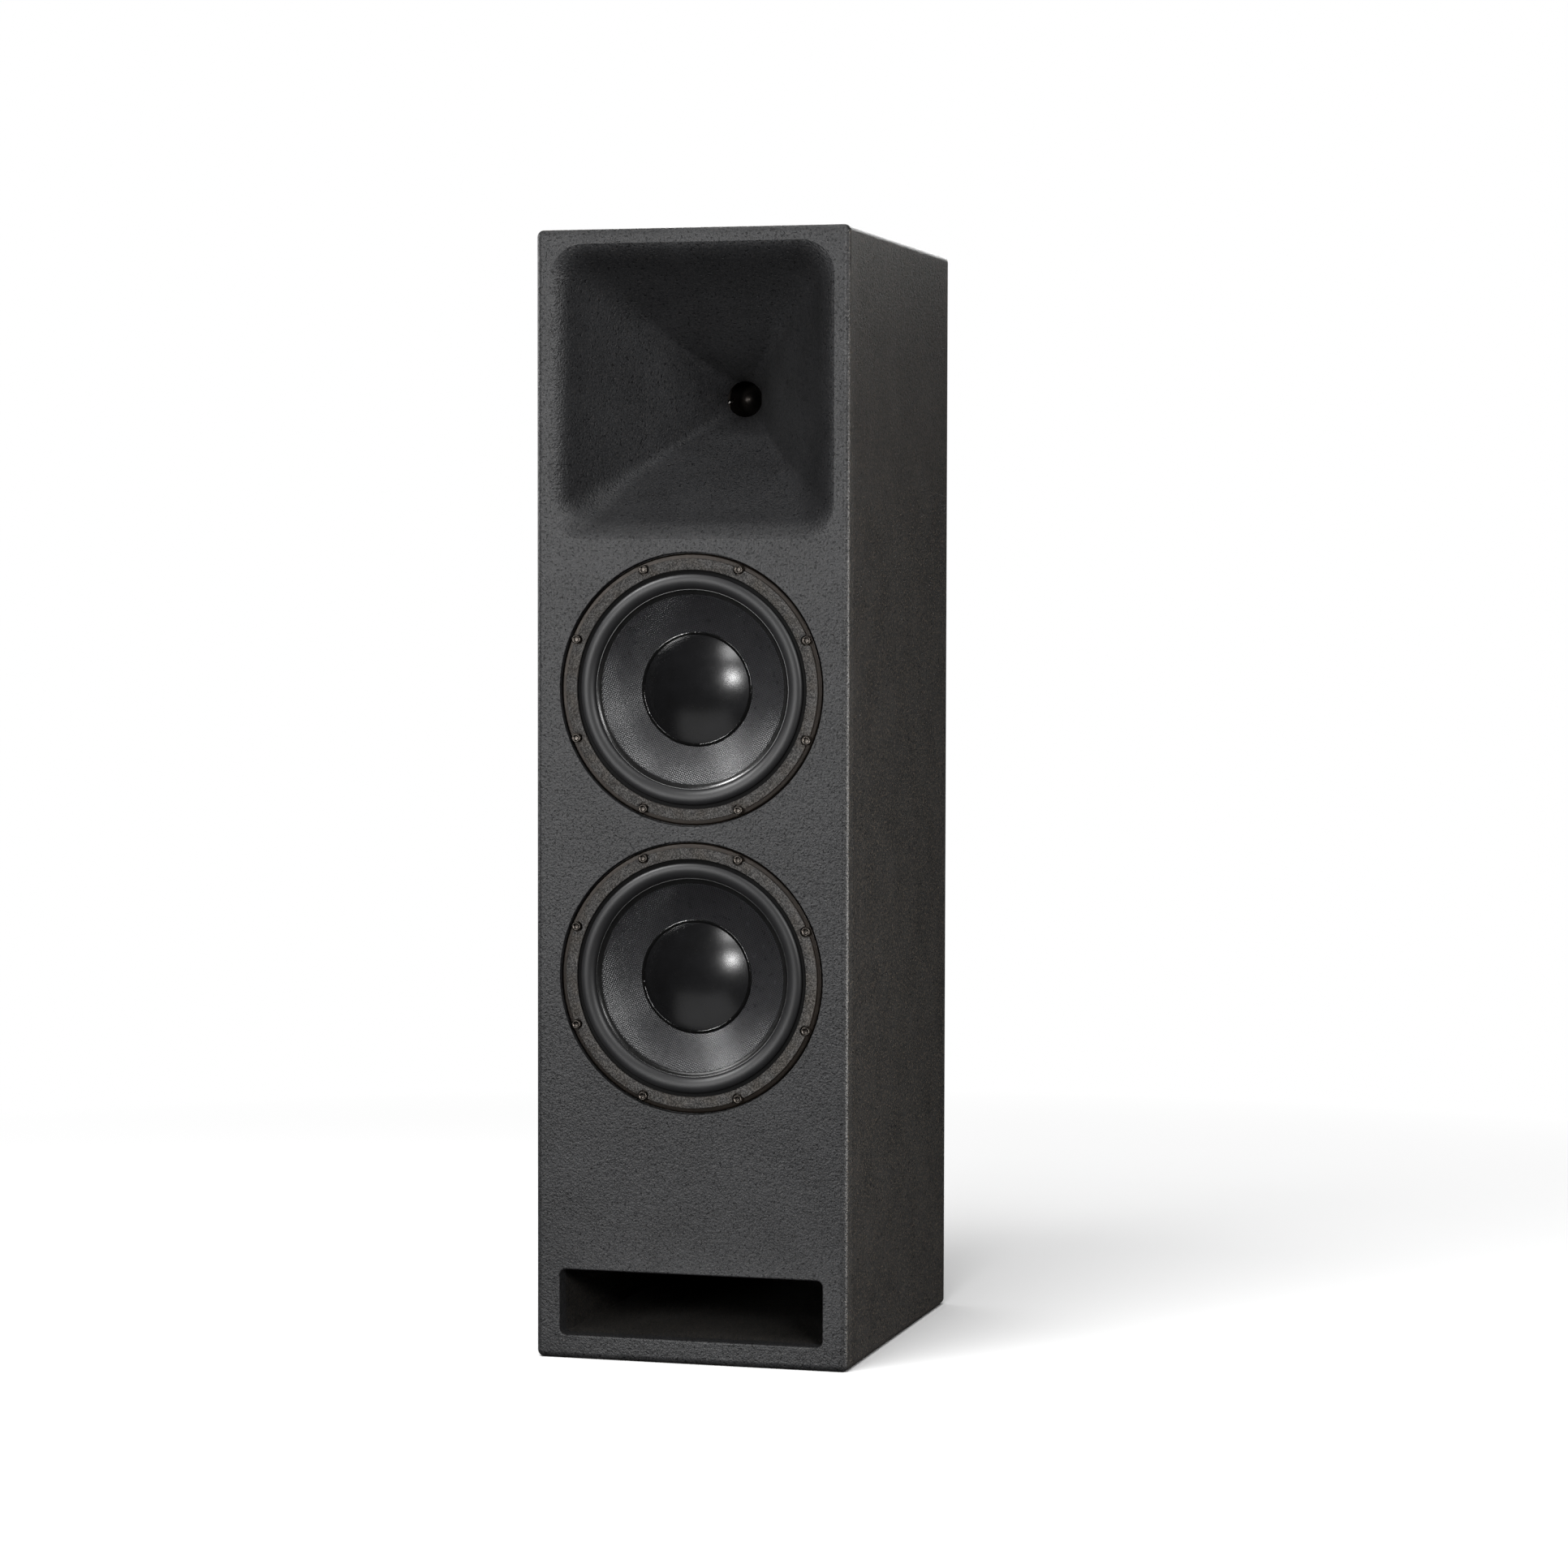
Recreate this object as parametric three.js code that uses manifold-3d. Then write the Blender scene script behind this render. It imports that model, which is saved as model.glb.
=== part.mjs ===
// A tall two-way loudspeaker cabinet: a square horn over two ten-inch woofers and a slot port.
// Millimetres. x runs to the right, y is the depth behind the front face, z runs up from the floor.
import * as THREE from "three";
import { mergeVertices } from "three/addons/utils/BufferGeometryUtils.js";
import Module from "manifold-3d";

const wasm = await Module();
wasm.setup();

// ---- Driving dimensions ----

const GAP = 0.3; // left between pieces that are glued or bolted face to face
const PAST = 1; // how far a cutter runs past the faces that it cuts

const WIDTH = 305;
const DEPTH = 400;
const HEIGHT = 1067;
const EDGE_RADIUS = 6.35;
const BAFFLE = 19; // thickness of the front board
const BOARD = 22; // thickness of every other outer board
const INNER = WIDTH / 2 - BOARD; // half the clear width inside
const BACK = DEPTH - BOARD; // depth of the back board's inner face

const HORN_Z = 915;
const MOUTH = 138; // half the mouth's width at the front face
const MOUTH_CORNER = 31;
const LIP_END = 118; // half the width where the lip meets the flare
const LIP_CORNER = 24;
const LIP_TURN = [25, 65]; // degrees the lip has turned from the front face, at its start and end
const FLARE_POWER = 1.4;
const THROAT = 17.5; // radius
const THROAT_DEPTH = 184;
const HORN_WALL = 9;
const HORN_FLANGE = { half: INNER - 1, corner: 20, thickness: 12 };
const HORN_DISC = { radius: 60, thickness: 10 }; // the driver is bolted to it

const WOOFER_Z = { upper: 636.2, lower: 365.2 };
const RECESS = { radius: 128.5, depth: 8.3 };
const WOOFER_HOLE = 117;
const RIM = { radius: 127.5, front: 3.2, back: 8 };
const SCREW_CIRCLE = 121.5;
const SCREW_COUNT = 8;
const SCREW_TURN = 22.5; // degrees from the horizontal to the first screw
const SCREW = { head: 4.25, headHeight: 5.1, shank: 2.5, length: 14, socket: 2.3, socketDepth: 2.5 };
const SCREW_HOLE = 3.2;

const PORT = { half: 129, low: 22.5, high: 85, corner: 6 };
const SHELF = { low: 85.5, thickness: 15, length: 300 };
const BRACE = { z: 500.7, thickness: 12, windowWidth: 98, windowDepth: 92, rib: 18 };

const PLATE = { width: 160, height: 100, corner: 6, z: 190, thickness: 1.9 };
const CUTOUT = { width: 130, height: 75 };
const SOCKET_SPACING = 60;
const LEAD_RADIUS = 2.2;

// Sides of a round piece that shows from the front, and of one that is hidden or small.
const VISIBLE = 28;
const HIDDEN = 16;
const SMALL = 8;
const SIX = 6; // a hexagon

// ---- Looks, by material ----

const paint = { color: 0x4a4a4c, roughness: 0.62, metalness: 0 };
const paintedWood = { color: 0x3d3b3a, roughness: 0.7, metalness: 0 };
const plywood = { color: 0xb08d5e, roughness: 0.8, metalness: 0 };
const frameMetal = { color: 0x241f1d, roughness: 0.5, metalness: 0.3 };
const gasketBoard = { color: 0x57504b, roughness: 0.85, metalness: 0 };
const softRubber = { color: 0x2e2d2d, roughness: 0.75, metalness: 0 };
const conePaper = { color: 0x121213, roughness: 0.25, metalness: 0 };
const capPaper = { color: 0x1a1a1b, roughness: 0.35, metalness: 0 };
const spiderCloth = { color: 0xb5893d, roughness: 0.9, metalness: 0 };
const coilWire = { color: 0xa65e34, roughness: 0.4, metalness: 0.9 };
const plainSteel = { color: 0x8c8e90, roughness: 0.4, metalness: 1 };
const ferrite = { color: 0x2b2b2d, roughness: 0.8, metalness: 0 };
const blackSteel = { color: 0x161617, roughness: 0.35, metalness: 0.6 };
const castAluminium = { color: 0x8f9193, roughness: 0.5, metalness: 1 };
const titanium = { color: 0xa9a6a1, roughness: 0.35, metalness: 1 };
const blackPlastic = { color: 0x151516, roughness: 0.45, metalness: 0 };
const circuitBoard = { color: 0x1f4a2c, roughness: 0.5, metalness: 0 };
const leadSheath = { color: 0x9b1f1f, roughness: 0.55, metalness: 0 };

// ---- Solids ----

const radians = THREE.MathUtils.degToRad;

// A closed geometry as a solid, turned right side out.
function solid(geometry) {
  geometry.deleteAttribute("normal");
  geometry.deleteAttribute("uv");
  const merged = mergeVertices(geometry, 1e-3);
  const triVerts = new Uint32Array(merged.index.array);
  const vertProperties = new Float32Array(merged.attributes.position.array);
  const made = new wasm.Manifold(new wasm.Mesh({ numProp: 3, vertProperties, triVerts }));
  if (made.volume() > 0) return made;
  const flipped = triVerts.map((_, i, all) => all[i - (i % 3) + 2 - (i % 3)]);
  return new wasm.Manifold(new wasm.Mesh({ numProp: 3, vertProperties, triVerts: flipped }));
}

function geometryOf(shape) {
  const mesh = shape.getMesh();
  const geometry = new THREE.BufferGeometry();
  const corners = [];
  for (let i = 0; i < mesh.vertProperties.length; i += mesh.numProp)
    corners.push(mesh.vertProperties[i], mesh.vertProperties[i + 1], mesh.vertProperties[i + 2]);
  geometry.setAttribute("position", new THREE.Float32BufferAttribute(corners, 3));
  geometry.setIndex([...mesh.triVerts]);
  const flat = geometry.toNonIndexed();
  flat.computeVertexNormals();
  return flat;
}

function join(...shapes) {
  return shapes.reduce((whole, shape) => whole.add(shape));
}

function block([x0, x1], [y0, y1], [z0, z1]) {
  const box = new THREE.BoxGeometry(x1 - x0, y1 - y0, z1 - z0);
  box.translate((x0 + x1) / 2, (y0 + y1) / 2, (z0 + z1) / 2);
  return solid(box);
}

// A ring or disc turned round the y axis from [radius, depth] points, which close on themselves.
function turned(points, segments = HIDDEN) {
  const closed = [...points, points[0]];
  if (points[0][0] === 0) closed.pop();
  return solid(new THREE.LatheGeometry(closed.map(([r, y]) => new THREE.Vector2(r, y)), segments));
}

// A ring of rectangular section.
function ring(inner, outer, front, back, segments = HIDDEN) {
  return turned([[inner, front], [outer, front], [outer, back], [inner, back]], segments);
}

function disc(radius, front, back, segments = HIDDEN) {
  return turned([[0, front], [radius, front], [radius, back], [0, back]], segments);
}

function roundedRectangle(halfWidth, halfHeight, radius) {
  const shape = new THREE.Shape();
  const x = halfWidth - radius;
  const z = halfHeight - radius;
  shape.absarc(x, z, radius, 0, Math.PI / 2);
  shape.absarc(-x, z, radius, Math.PI / 2, Math.PI);
  shape.absarc(-x, -z, radius, Math.PI, 1.5 * Math.PI);
  shape.absarc(x, -z, radius, 1.5 * Math.PI, 2 * Math.PI);
  return shape;
}

// A shape drawn in x and z, run through the depth from front to back.
function prism(shape, front, back, curveSegments = 5) {
  const options = { depth: back - front, bevelEnabled: false, curveSegments };
  const geometry = new THREE.ExtrudeGeometry(shape, options);
  geometry.rotateX(Math.PI / 2);
  geometry.translate(0, back, 0);
  return solid(geometry);
}

function piece(name, shape, look, z = 0) {
  const mesh = new THREE.Mesh(geometryOf(shape), new THREE.MeshStandardMaterial(look));
  mesh.name = name;
  mesh.position.z = z;
  return mesh;
}

// Places round a circle in the xz plane.
function around(count, radius, firstDegrees) {
  return Array.from({ length: count }, (_, i) => {
    const angle = radians(firstDegrees + (i * 360) / count);
    return [radius * Math.cos(angle), radius * Math.sin(angle)];
  });
}

// ---- The horn's inside ----

// Half the horn's width from the front face to the throat, as rows of [half width, depth, corner radius].
function flareRows(lipSteps, wallSteps) {
  const [start, end] = LIP_TURN.map(radians);
  const lipRadius = (MOUTH - LIP_END) / (Math.sin(end) - Math.sin(start));
  const rows = [];
  for (let i = 0; i < lipSteps; i++) {
    const turn = start + ((end - start) * i) / lipSteps;
    const share = i / lipSteps;
    rows.push([
      MOUTH - lipRadius * (Math.sin(turn) - Math.sin(start)),
      lipRadius * (Math.cos(start) - Math.cos(turn)),
      MOUTH_CORNER + (LIP_CORNER - MOUTH_CORNER) * share,
    ]);
  }
  for (let i = 0; i <= wallSteps; i++) {
    const share = i / wallSteps;
    rows.push([
      THROAT + (LIP_END - THROAT) * (1 - share) ** FLARE_POWER,
      BAFFLE + (THROAT_DEPTH - BAFFLE) * share,
      LIP_CORNER * (1 - share) ** 2 + THROAT * share ** 3,
    ]);
  }
  return rows;
}

const ARC_POINTS = 6;
const SIDE_POINTS = 2;
const SQUARE_POINTS = 4 * (ARC_POINTS + SIDE_POINTS);

// Where point i of a rounded square lies: six on each corner's arc, two on each side.
function squarePoint(index, half, corner) {
  const quarter = Math.floor(index / (ARC_POINTS + SIDE_POINTS));
  const place = index % (ARC_POINTS + SIDE_POINTS);
  const straight = half - corner;
  const arc = (degrees) => [
    straight + corner * Math.cos(radians(degrees)),
    straight + corner * Math.sin(radians(degrees)),
  ];
  let [x, z] = arc((Math.min(place, ARC_POINTS - 1) * 90) / (ARC_POINTS - 1));
  if (place >= ARC_POINTS) x = straight * (1 - (2 * (place - ARC_POINTS + 1)) / (SIDE_POINTS + 1));
  for (let turn = 0; turn < quarter; turn++) [x, z] = [-z, x];
  return [x, z];
}

// A turned solid whose round sections are made into rounded squares, from rows of
// [half width, depth, corner radius], closed flat at both ends.
function squared(rows) {
  const profile = [[0, rows[0][1]], ...rows, [0, rows.at(-1)[1]]];
  const points = profile.map(([r, y]) => new THREE.Vector2(r, y));
  const geometry = new THREE.LatheGeometry(points, SQUARE_POINTS);
  const position = geometry.getAttribute("position");
  for (let i = 0; i < position.count; i++) {
    const [half, depth, corner = 0] = profile[i % profile.length];
    const around = Math.floor(i / profile.length) % SQUARE_POINTS;
    const [x, z] = half === 0 ? [0, 0] : squarePoint(around, half, corner);
    position.setXYZ(i, x, depth, z);
  }
  return solid(geometry);
}

function hornAir() {
  const rows = flareRows(3, 7);
  const before = [MOUTH + 2 * PAST, -2 * PAST, MOUTH_CORNER + 2 * PAST];
  const after = [THROAT, THROAT_DEPTH + PAST, THROAT];
  return squared([before, ...rows, after]);
}

function horn() {
  const outside = flareRows(1, 4)
    .slice(1)
    .map(([half, depth, corner]) => [half + HORN_WALL, depth, corner + HORN_WALL]);
  const front = BAFFLE + GAP;
  const back = THROAT_DEPTH - GAP;
  outside[0][1] = front;
  outside.at(-1)[1] = back;
  const { half, corner, thickness } = HORN_FLANGE;
  const flange = prism(roundedRectangle(half, half, corner), front, front + thickness);
  const throatDisc = disc(HORN_DISC.radius, THROAT_DEPTH - HORN_DISC.thickness, back);
  return join(squared(outside), flange, throatDisc).subtract(hornAir());
}

// ---- The cabinet's boards ----

const insideDepth = [BAFFLE + GAP, BACK - GAP];
const insideWidth = [-INNER + GAP, INNER - GAP];
const fullHeight = [-PAST, HEIGHT + PAST];

// The outer block with every edge rounded.
const envelope = (() => {
  const facing = (halfWidth, halfHeight, length) =>
    prism(roundedRectangle(halfWidth, halfHeight, EDGE_RADIUS), -length / 2, length / 2, 4);
  const alongY = facing(WIDTH / 2, HEIGHT / 2, DEPTH);
  const alongX = facing(DEPTH / 2, HEIGHT / 2, WIDTH).rotate([0, 0, 90]);
  const alongZ = facing(WIDTH / 2, DEPTH / 2, HEIGHT).rotate([90, 0, 0]);
  return alongY.intersect(alongX).intersect(alongZ).translate([0, DEPTH / 2, HEIGHT / 2]);
})();

function board(x, y, z) {
  return block(x, y, z).intersect(envelope);
}

function portAir() {
  const height = PORT.high - PORT.low;
  const shape = roundedRectangle(PORT.half, height / 2, PORT.corner);
  return prism(shape, -PAST, BAFFLE + PAST).translate([0, 0, PORT.low + height / 2]);
}

function screwHoles(front, back) {
  const holes = around(SCREW_COUNT, SCREW_CIRCLE, SCREW_TURN).map(([x, z]) =>
    disc(SCREW_HOLE, front, back, SIX).translate([x, 0, z]),
  );
  return join(...holes);
}

function wooferCuts() {
  const hole = disc(WOOFER_HOLE, -PAST, BAFFLE + PAST, VISIBLE);
  const recess = disc(RECESS.radius, -PAST, RECESS.depth, VISIBLE);
  return join(hole, recess, screwHoles(-PAST, BAFFLE + PAST));
}

function baffle() {
  let cut = board([-WIDTH, WIDTH], [-PAST, BAFFLE], fullHeight);
  cut = cut.subtract(hornAir().translate([0, 0, HORN_Z]));
  for (const z of Object.values(WOOFER_Z)) cut = cut.subtract(wooferCuts().translate([0, 0, z]));
  return cut.subtract(portAir());
}

function sidePanel(side) {
  const x = side > 0 ? [INNER, WIDTH] : [-WIDTH, -INNER];
  return board(x, insideDepth, fullHeight);
}

function backPanel() {
  const { width, height } = CUTOUT;
  const depth = [BACK - PAST, DEPTH + PAST];
  const hole = block([-width / 2, width / 2], depth, [-height / 2, height / 2]);
  const whole = board([-WIDTH, WIDTH], [BACK, DEPTH + PAST], fullHeight);
  return whole.subtract(hole.translate([0, 0, PLATE.z]));
}

function windowBrace() {
  const { z, thickness, windowWidth, windowDepth, rib } = BRACE;
  const middle = (insideDepth[0] + insideDepth[1]) / 2;
  let frame = block(insideWidth, insideDepth, [z - thickness / 2, z + thickness / 2]);
  for (const side of [-0.5, 0.5])
    for (const row of [-1, 0, 1]) {
      const x = side * (rib + windowWidth);
      const y = middle + row * (windowDepth + rib);
      const spanX = [x - windowWidth / 2, x + windowWidth / 2];
      const spanY = [y - windowDepth / 2, y + windowDepth / 2];
      frame = frame.subtract(block(spanX, spanY, [z - thickness, z + thickness]));
    }
  return frame;
}

function cabinet() {
  const shelfDepth = [insideDepth[0], insideDepth[0] + SHELF.length];
  const shelfHeight = [SHELF.low, SHELF.low + SHELF.thickness];
  return [
    piece("baffle", baffle(), paint),
    piece("left_side_panel", sidePanel(-1), paintedWood),
    piece("right_side_panel", sidePanel(1), paintedWood),
    piece("top_panel", board(insideWidth, insideDepth, [HEIGHT - BOARD, HEIGHT + PAST]), paintedWood),
    piece("bottom_panel", board(insideWidth, insideDepth, [-PAST, BOARD]), paintedWood),
    piece("back_panel", backPanel(), paintedWood),
    piece("port_shelf", block(insideWidth, shelfDepth, shelfHeight), plywood),
    piece("window_brace", windowBrace(), plywood),
    piece("horn", horn(), paint, HORN_Z),
  ];
}

// ---- The woofers ----

const LEDGE = { inner: 107, outer: 113.2, front: 4.7, under: 9 }; // the surround's outer edge is glued to it
const RIM_WALL = { inner: 109, outer: 115.5, back: 16 }; // goes down into the front board's hole
const LEG = { count: 6, turn: 30, width: 13, thickness: 7, outer: 114.5, inner: 78 };
const TAB = { from: -106, to: -82, front: 62.5, back: 66.5, half: 7 }; // the terminals are on it
const GASKET = { inner: 112.3, outer: 122.5, front: 0.4, notch: 6.5 };
const SHELF_RING = { inner: 72, outer: 80, front: 46.5 }; // where the spider is glued
const SEAT = { inner: 45, outer: 86, front: 62, back: 68 }; // bolted to the top plate
const COIL = { inner: 37.6, outer: 38.1, winding: 38.9, front: 29.5, windingFront: 66, back: 81 };
const TOP_PLATE = { inner: 39.7, outer: 88, front: SEAT.back + GAP, back: 78.3 };
const MAGNET = { inner: 48, outer: 92, front: TOP_PLATE.back + GAP, back: 102.6 };
const YOKE = { pole: 37.1, vent: 12, outer: 88, front: MAGNET.back + GAP, back: 114.9 };
const SPIDER = { outer: 78, waves: 2, height: 1.6, thickness: 0.8 };
const ROLL = { inner: 94, outer: 109.6, innerDepth: 5.2, outerDepth: 3.4, rise: 3, thickness: 1 };
const SURROUND_EDGE = 112;
const CONE_EDGE = 89;
const CONE_FLANGE = 93.5;
const CONE_MIDDLE = 70;
const CONE_THICKNESS = 1.2;
const CAP = { edge: 51, rise: 15, thickness: 1, seat: 1.4 }; // seat: how far it stands off the cone

// Depth of the cone's front surface at a radius: a slightly curved run down to the neck.
function coneDepth(radius) {
  const share = (CONE_EDGE - radius) / (CONE_EDGE - CAP.edge);
  return 6.5 + 15.5 * share + 1.4 * Math.sin(Math.PI * Math.min(share, 1));
}

function basket() {
  const rim = turned(
    [
      [LEDGE.inner, LEDGE.front],
      [LEDGE.outer, LEDGE.front],
      [LEDGE.outer, RIM.front],
      [RIM.radius, RIM.front],
      [RIM.radius, RIM.back],
      [RIM_WALL.outer, RIM.back],
      [RIM_WALL.outer, RIM_WALL.back],
      [RIM_WALL.inner, RIM_WALL.back],
      [LEDGE.inner, LEDGE.under],
    ],
    VISIBLE,
  );
  const seat = turned([
    [SHELF_RING.inner, SHELF_RING.front],
    [SHELF_RING.outer, SHELF_RING.front],
    [SHELF_RING.outer, SEAT.front],
    [SEAT.outer, SEAT.front],
    [SEAT.outer, SEAT.back],
    [SEAT.inner, SEAT.back],
    [SEAT.inner, SEAT.front],
    [SHELF_RING.inner, SEAT.front],
  ]);
  const tab = block([TAB.from, TAB.to], [TAB.front, TAB.back], [-TAB.half, TAB.half]);
  return join(rim, seat, tab, ...legs()).subtract(screwHoles(0, RIM.back + PAST));
}

// The bent arms between the rim and the magnet's seat.
function legs() {
  const { count, turn, width, thickness, outer, inner } = LEG;
  const outline = new THREE.Shape([
    new THREE.Vector2(outer, RIM.back + 2),
    new THREE.Vector2(outer, RIM_WALL.back + 2),
    new THREE.Vector2(inner + thickness, SEAT.front - 2),
    new THREE.Vector2(inner + thickness, SEAT.back - 2),
    new THREE.Vector2(inner, SEAT.back - 2),
    new THREE.Vector2(inner, SEAT.front - 12),
    new THREE.Vector2(RIM_WALL.inner + 0.5, RIM.back + 4),
  ]);
  const arm = new THREE.ExtrudeGeometry(outline, { depth: width, bevelEnabled: false });
  arm.translate(0, 0, -width / 2);
  const oneLeg = solid(arm);
  return Array.from({ length: count }, (_, i) => oneLeg.rotate([0, turn + (i * 360) / count, 0]));
}

function gasket() {
  const { inner, outer, front, notch } = GASKET;
  const back = RIM.front - GAP;
  const notches = around(SCREW_COUNT, SCREW_CIRCLE, SCREW_TURN).map(([x, z]) =>
    disc(notch, front - PAST, back + PAST, SMALL + 2).translate([x, 0, z]),
  );
  return ring(inner, outer, front, back, VISIBLE).subtract(join(...notches));
}

function surround() {
  const { inner, outer, innerDepth, outerDepth, rise, thickness } = ROLL;
  const steps = 4;
  const along = (offset) =>
    Array.from({ length: steps + 1 }, (_, i) => {
      const share = i / steps;
      const base = innerDepth + (outerDepth - innerDepth) * share;
      return [inner + (outer - inner) * share, base - rise * Math.sin(Math.PI * share) + offset];
    });
  const front = [[CONE_EDGE, innerDepth], ...along(0), [SURROUND_EDGE, outerDepth]];
  const back = [[SURROUND_EDGE, outerDepth + thickness], ...along(thickness).reverse()];
  return turned([...front, ...back, [CONE_EDGE, innerDepth + thickness]], VISIBLE);
}

function cone() {
  const radii = [CONE_EDGE, CONE_MIDDLE, CAP.edge, COIL.outer + GAP];
  const front = radii.map((radius) => [radius, coneDepth(radius)]);
  const back = front.map(([radius, depth]) => [radius, depth + CONE_THICKNESS]).reverse();
  const flange = coneDepth(CONE_EDGE);
  const flangeFront = [CONE_FLANGE, flange];
  const flangeBack = [CONE_FLANGE, flange + CONE_THICKNESS];
  return turned([flangeFront, ...front, ...back, flangeBack], VISIBLE);
}

function dustCap() {
  const { edge, rise, thickness, seat } = CAP;
  const steps = 4;
  const edgeDepth = coneDepth(edge) - seat;
  const dome = (radius, height, base) =>
    Array.from({ length: steps + 1 }, (_, i) => {
      const angle = (Math.PI / 2) * (i / steps);
      return [radius * Math.sin(angle), base - height * Math.cos(angle)];
    });
  const front = dome(edge, rise, edgeDepth);
  const back = dome(edge - thickness, rise - thickness, edgeDepth).reverse();
  return turned([...front, ...back], VISIBLE);
}

function voiceCoil() {
  return turned([
    [COIL.inner, COIL.front],
    [COIL.outer, COIL.front],
    [COIL.outer, COIL.windingFront],
    [COIL.winding, COIL.windingFront],
    [COIL.winding, COIL.back],
    [COIL.inner, COIL.back],
  ]);
}

function spider() {
  const { outer, waves, height, thickness } = SPIDER;
  const inner = COIL.outer + GAP + 0.1;
  const depth = SHELF_RING.front - GAP - thickness;
  const steps = 2 * waves + 1;
  const front = Array.from({ length: steps + 1 }, (_, i) => {
    const wave = i === 0 || i >= steps - 1 ? 0 : (i % 2) * height;
    return [inner + ((outer - inner) * i) / steps, depth - wave];
  });
  const back = front.map(([radius, y]) => [radius, y + thickness]).reverse();
  return turned([...front, ...back]);
}

function yoke() {
  return turned([
    [YOKE.vent, TOP_PLATE.front],
    [YOKE.pole, TOP_PLATE.front],
    [YOKE.pole, YOKE.front],
    [YOKE.outer, YOKE.front],
    [YOKE.outer, YOKE.back],
    [YOKE.vent, YOKE.back],
  ]);
}

function wooferScrew() {
  const top = RIM.front - GAP - SCREW.headHeight;
  const under = RIM.front - GAP;
  const body = turned(
    [
      [0, top],
      [SCREW.head, top],
      [SCREW.head, under],
      [SCREW.shank, under],
      [SCREW.shank, under + SCREW.length],
      [0, under + SCREW.length],
    ],
    SMALL,
  );
  return body.subtract(disc(SCREW.socket, top - PAST, top + SCREW.socketDepth, SIX));
}

function woofer(which) {
  const z = WOOFER_Z[which];
  const name = (part) => `${which}_woofer_${part}`;
  const topPlate = ring(TOP_PLATE.inner, TOP_PLATE.outer, TOP_PLATE.front, TOP_PLATE.back);
  const magnet = ring(MAGNET.inner, MAGNET.outer, MAGNET.front, MAGNET.back);
  const screws = around(SCREW_COUNT, SCREW_CIRCLE, SCREW_TURN).map(([x, up], i) =>
    piece(name(`screw_${i + 1}`), wooferScrew().translate([x, 0, up]), blackSteel, z),
  );
  return [
    piece(name("basket"), basket(), frameMetal, z),
    piece(name("gasket"), gasket(), gasketBoard, z),
    piece(name("surround"), surround(), softRubber, z),
    piece(name("cone"), cone(), conePaper, z),
    piece(name("dust_cap"), dustCap(), capPaper, z),
    piece(name("voice_coil"), voiceCoil(), coilWire, z),
    piece(name("spider"), spider(), spiderCloth, z),
    piece(name("top_plate"), topPlate, plainSteel, z),
    piece(name("magnet"), magnet, ferrite, z),
    piece(name("yoke"), yoke(), plainSteel, z),
    ...screws,
  ];
}

// ---- The high-frequency driver ----

const HF = {
  front: THROAT_DEPTH + GAP,
  plateBack: 196.3,
  plate: 70,
  pole: 36.9,
  boreBack: 226,
  bore: 33.5,
  poleBack: 232,
  plugTip: 191,
  plugBack: 240.2,
  magnet: { inner: 44, outer: 74, back: 222 },
  topPlate: { inner: 38.6, outer: 72, back: 232.3 },
  coil: { inner: 37.4, outer: 37.95, front: 223 },
  flange: { outer: 46, front: 233.7, back: 234.4 },
  domeRise: 7.6,
  cover: { outer: 72, inner: 66, roof: 257, back: 262, corner: 4 },
};

function hfPolePlate() {
  return turned([
    [THROAT, HF.front],
    [HF.plate, HF.front],
    [HF.plate, HF.plateBack],
    [HF.pole, HF.plateBack],
    [HF.pole, HF.poleBack],
    [HF.bore, HF.poleBack],
    [HF.bore, HF.boreBack],
  ]);
}

// A bullet in the throat that spreads into a domed base, with slots for the sound to pass.
function phasePlug() {
  const base = HF.bore - GAP;
  const bullet = turned([
    [0, HF.plugTip],
    [3, HF.plugTip + 1],
    [6, HF.plugTip + 5],
    [11, HF.plugTip + 15],
    [20, HF.plugTip + 26],
    [28, HF.boreBack],
    [base, HF.boreBack + GAP],
    [base, HF.poleBack],
    [26, HF.plugBack - 4.6],
    [14, HF.plugBack - 1.2],
    [0, HF.plugBack],
  ]);
  const count = 8;
  const slot = block([-1.5, 1.5], [HF.boreBack - 8, HF.plugBack + PAST], [12, 31]);
  const slots = Array.from({ length: count }, (_, i) => slot.rotate([0, (i * 360) / count, 0]));
  return bullet.subtract(join(...slots));
}

function hfDiaphragm() {
  const { coil, flange, domeRise } = HF;
  const dome = (radius, edge, rise) =>
    Array.from({ length: 3 }, (_, i) => {
      const share = i / 3;
      return [radius * share, edge + rise * (1 - share ** 2)];
    });
  return turned([
    ...dome(coil.outer, flange.back, domeRise),
    [coil.outer, flange.back],
    [flange.outer, flange.back],
    [flange.outer, flange.front],
    [coil.outer, flange.front],
    [coil.outer, coil.front],
    [coil.inner, coil.front],
    [coil.inner, flange.front],
    ...dome(coil.inner, flange.front, domeRise).reverse(),
  ]);
}

function hfRearCover() {
  const { outer, inner, roof, back, corner } = HF.cover;
  const front = HF.topPlate.back + GAP;
  return turned([
    [0, roof],
    [inner, roof],
    [inner, front],
    [outer, front],
    [outer, back - corner],
    [outer - corner, back],
    [0, back],
  ]);
}

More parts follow.
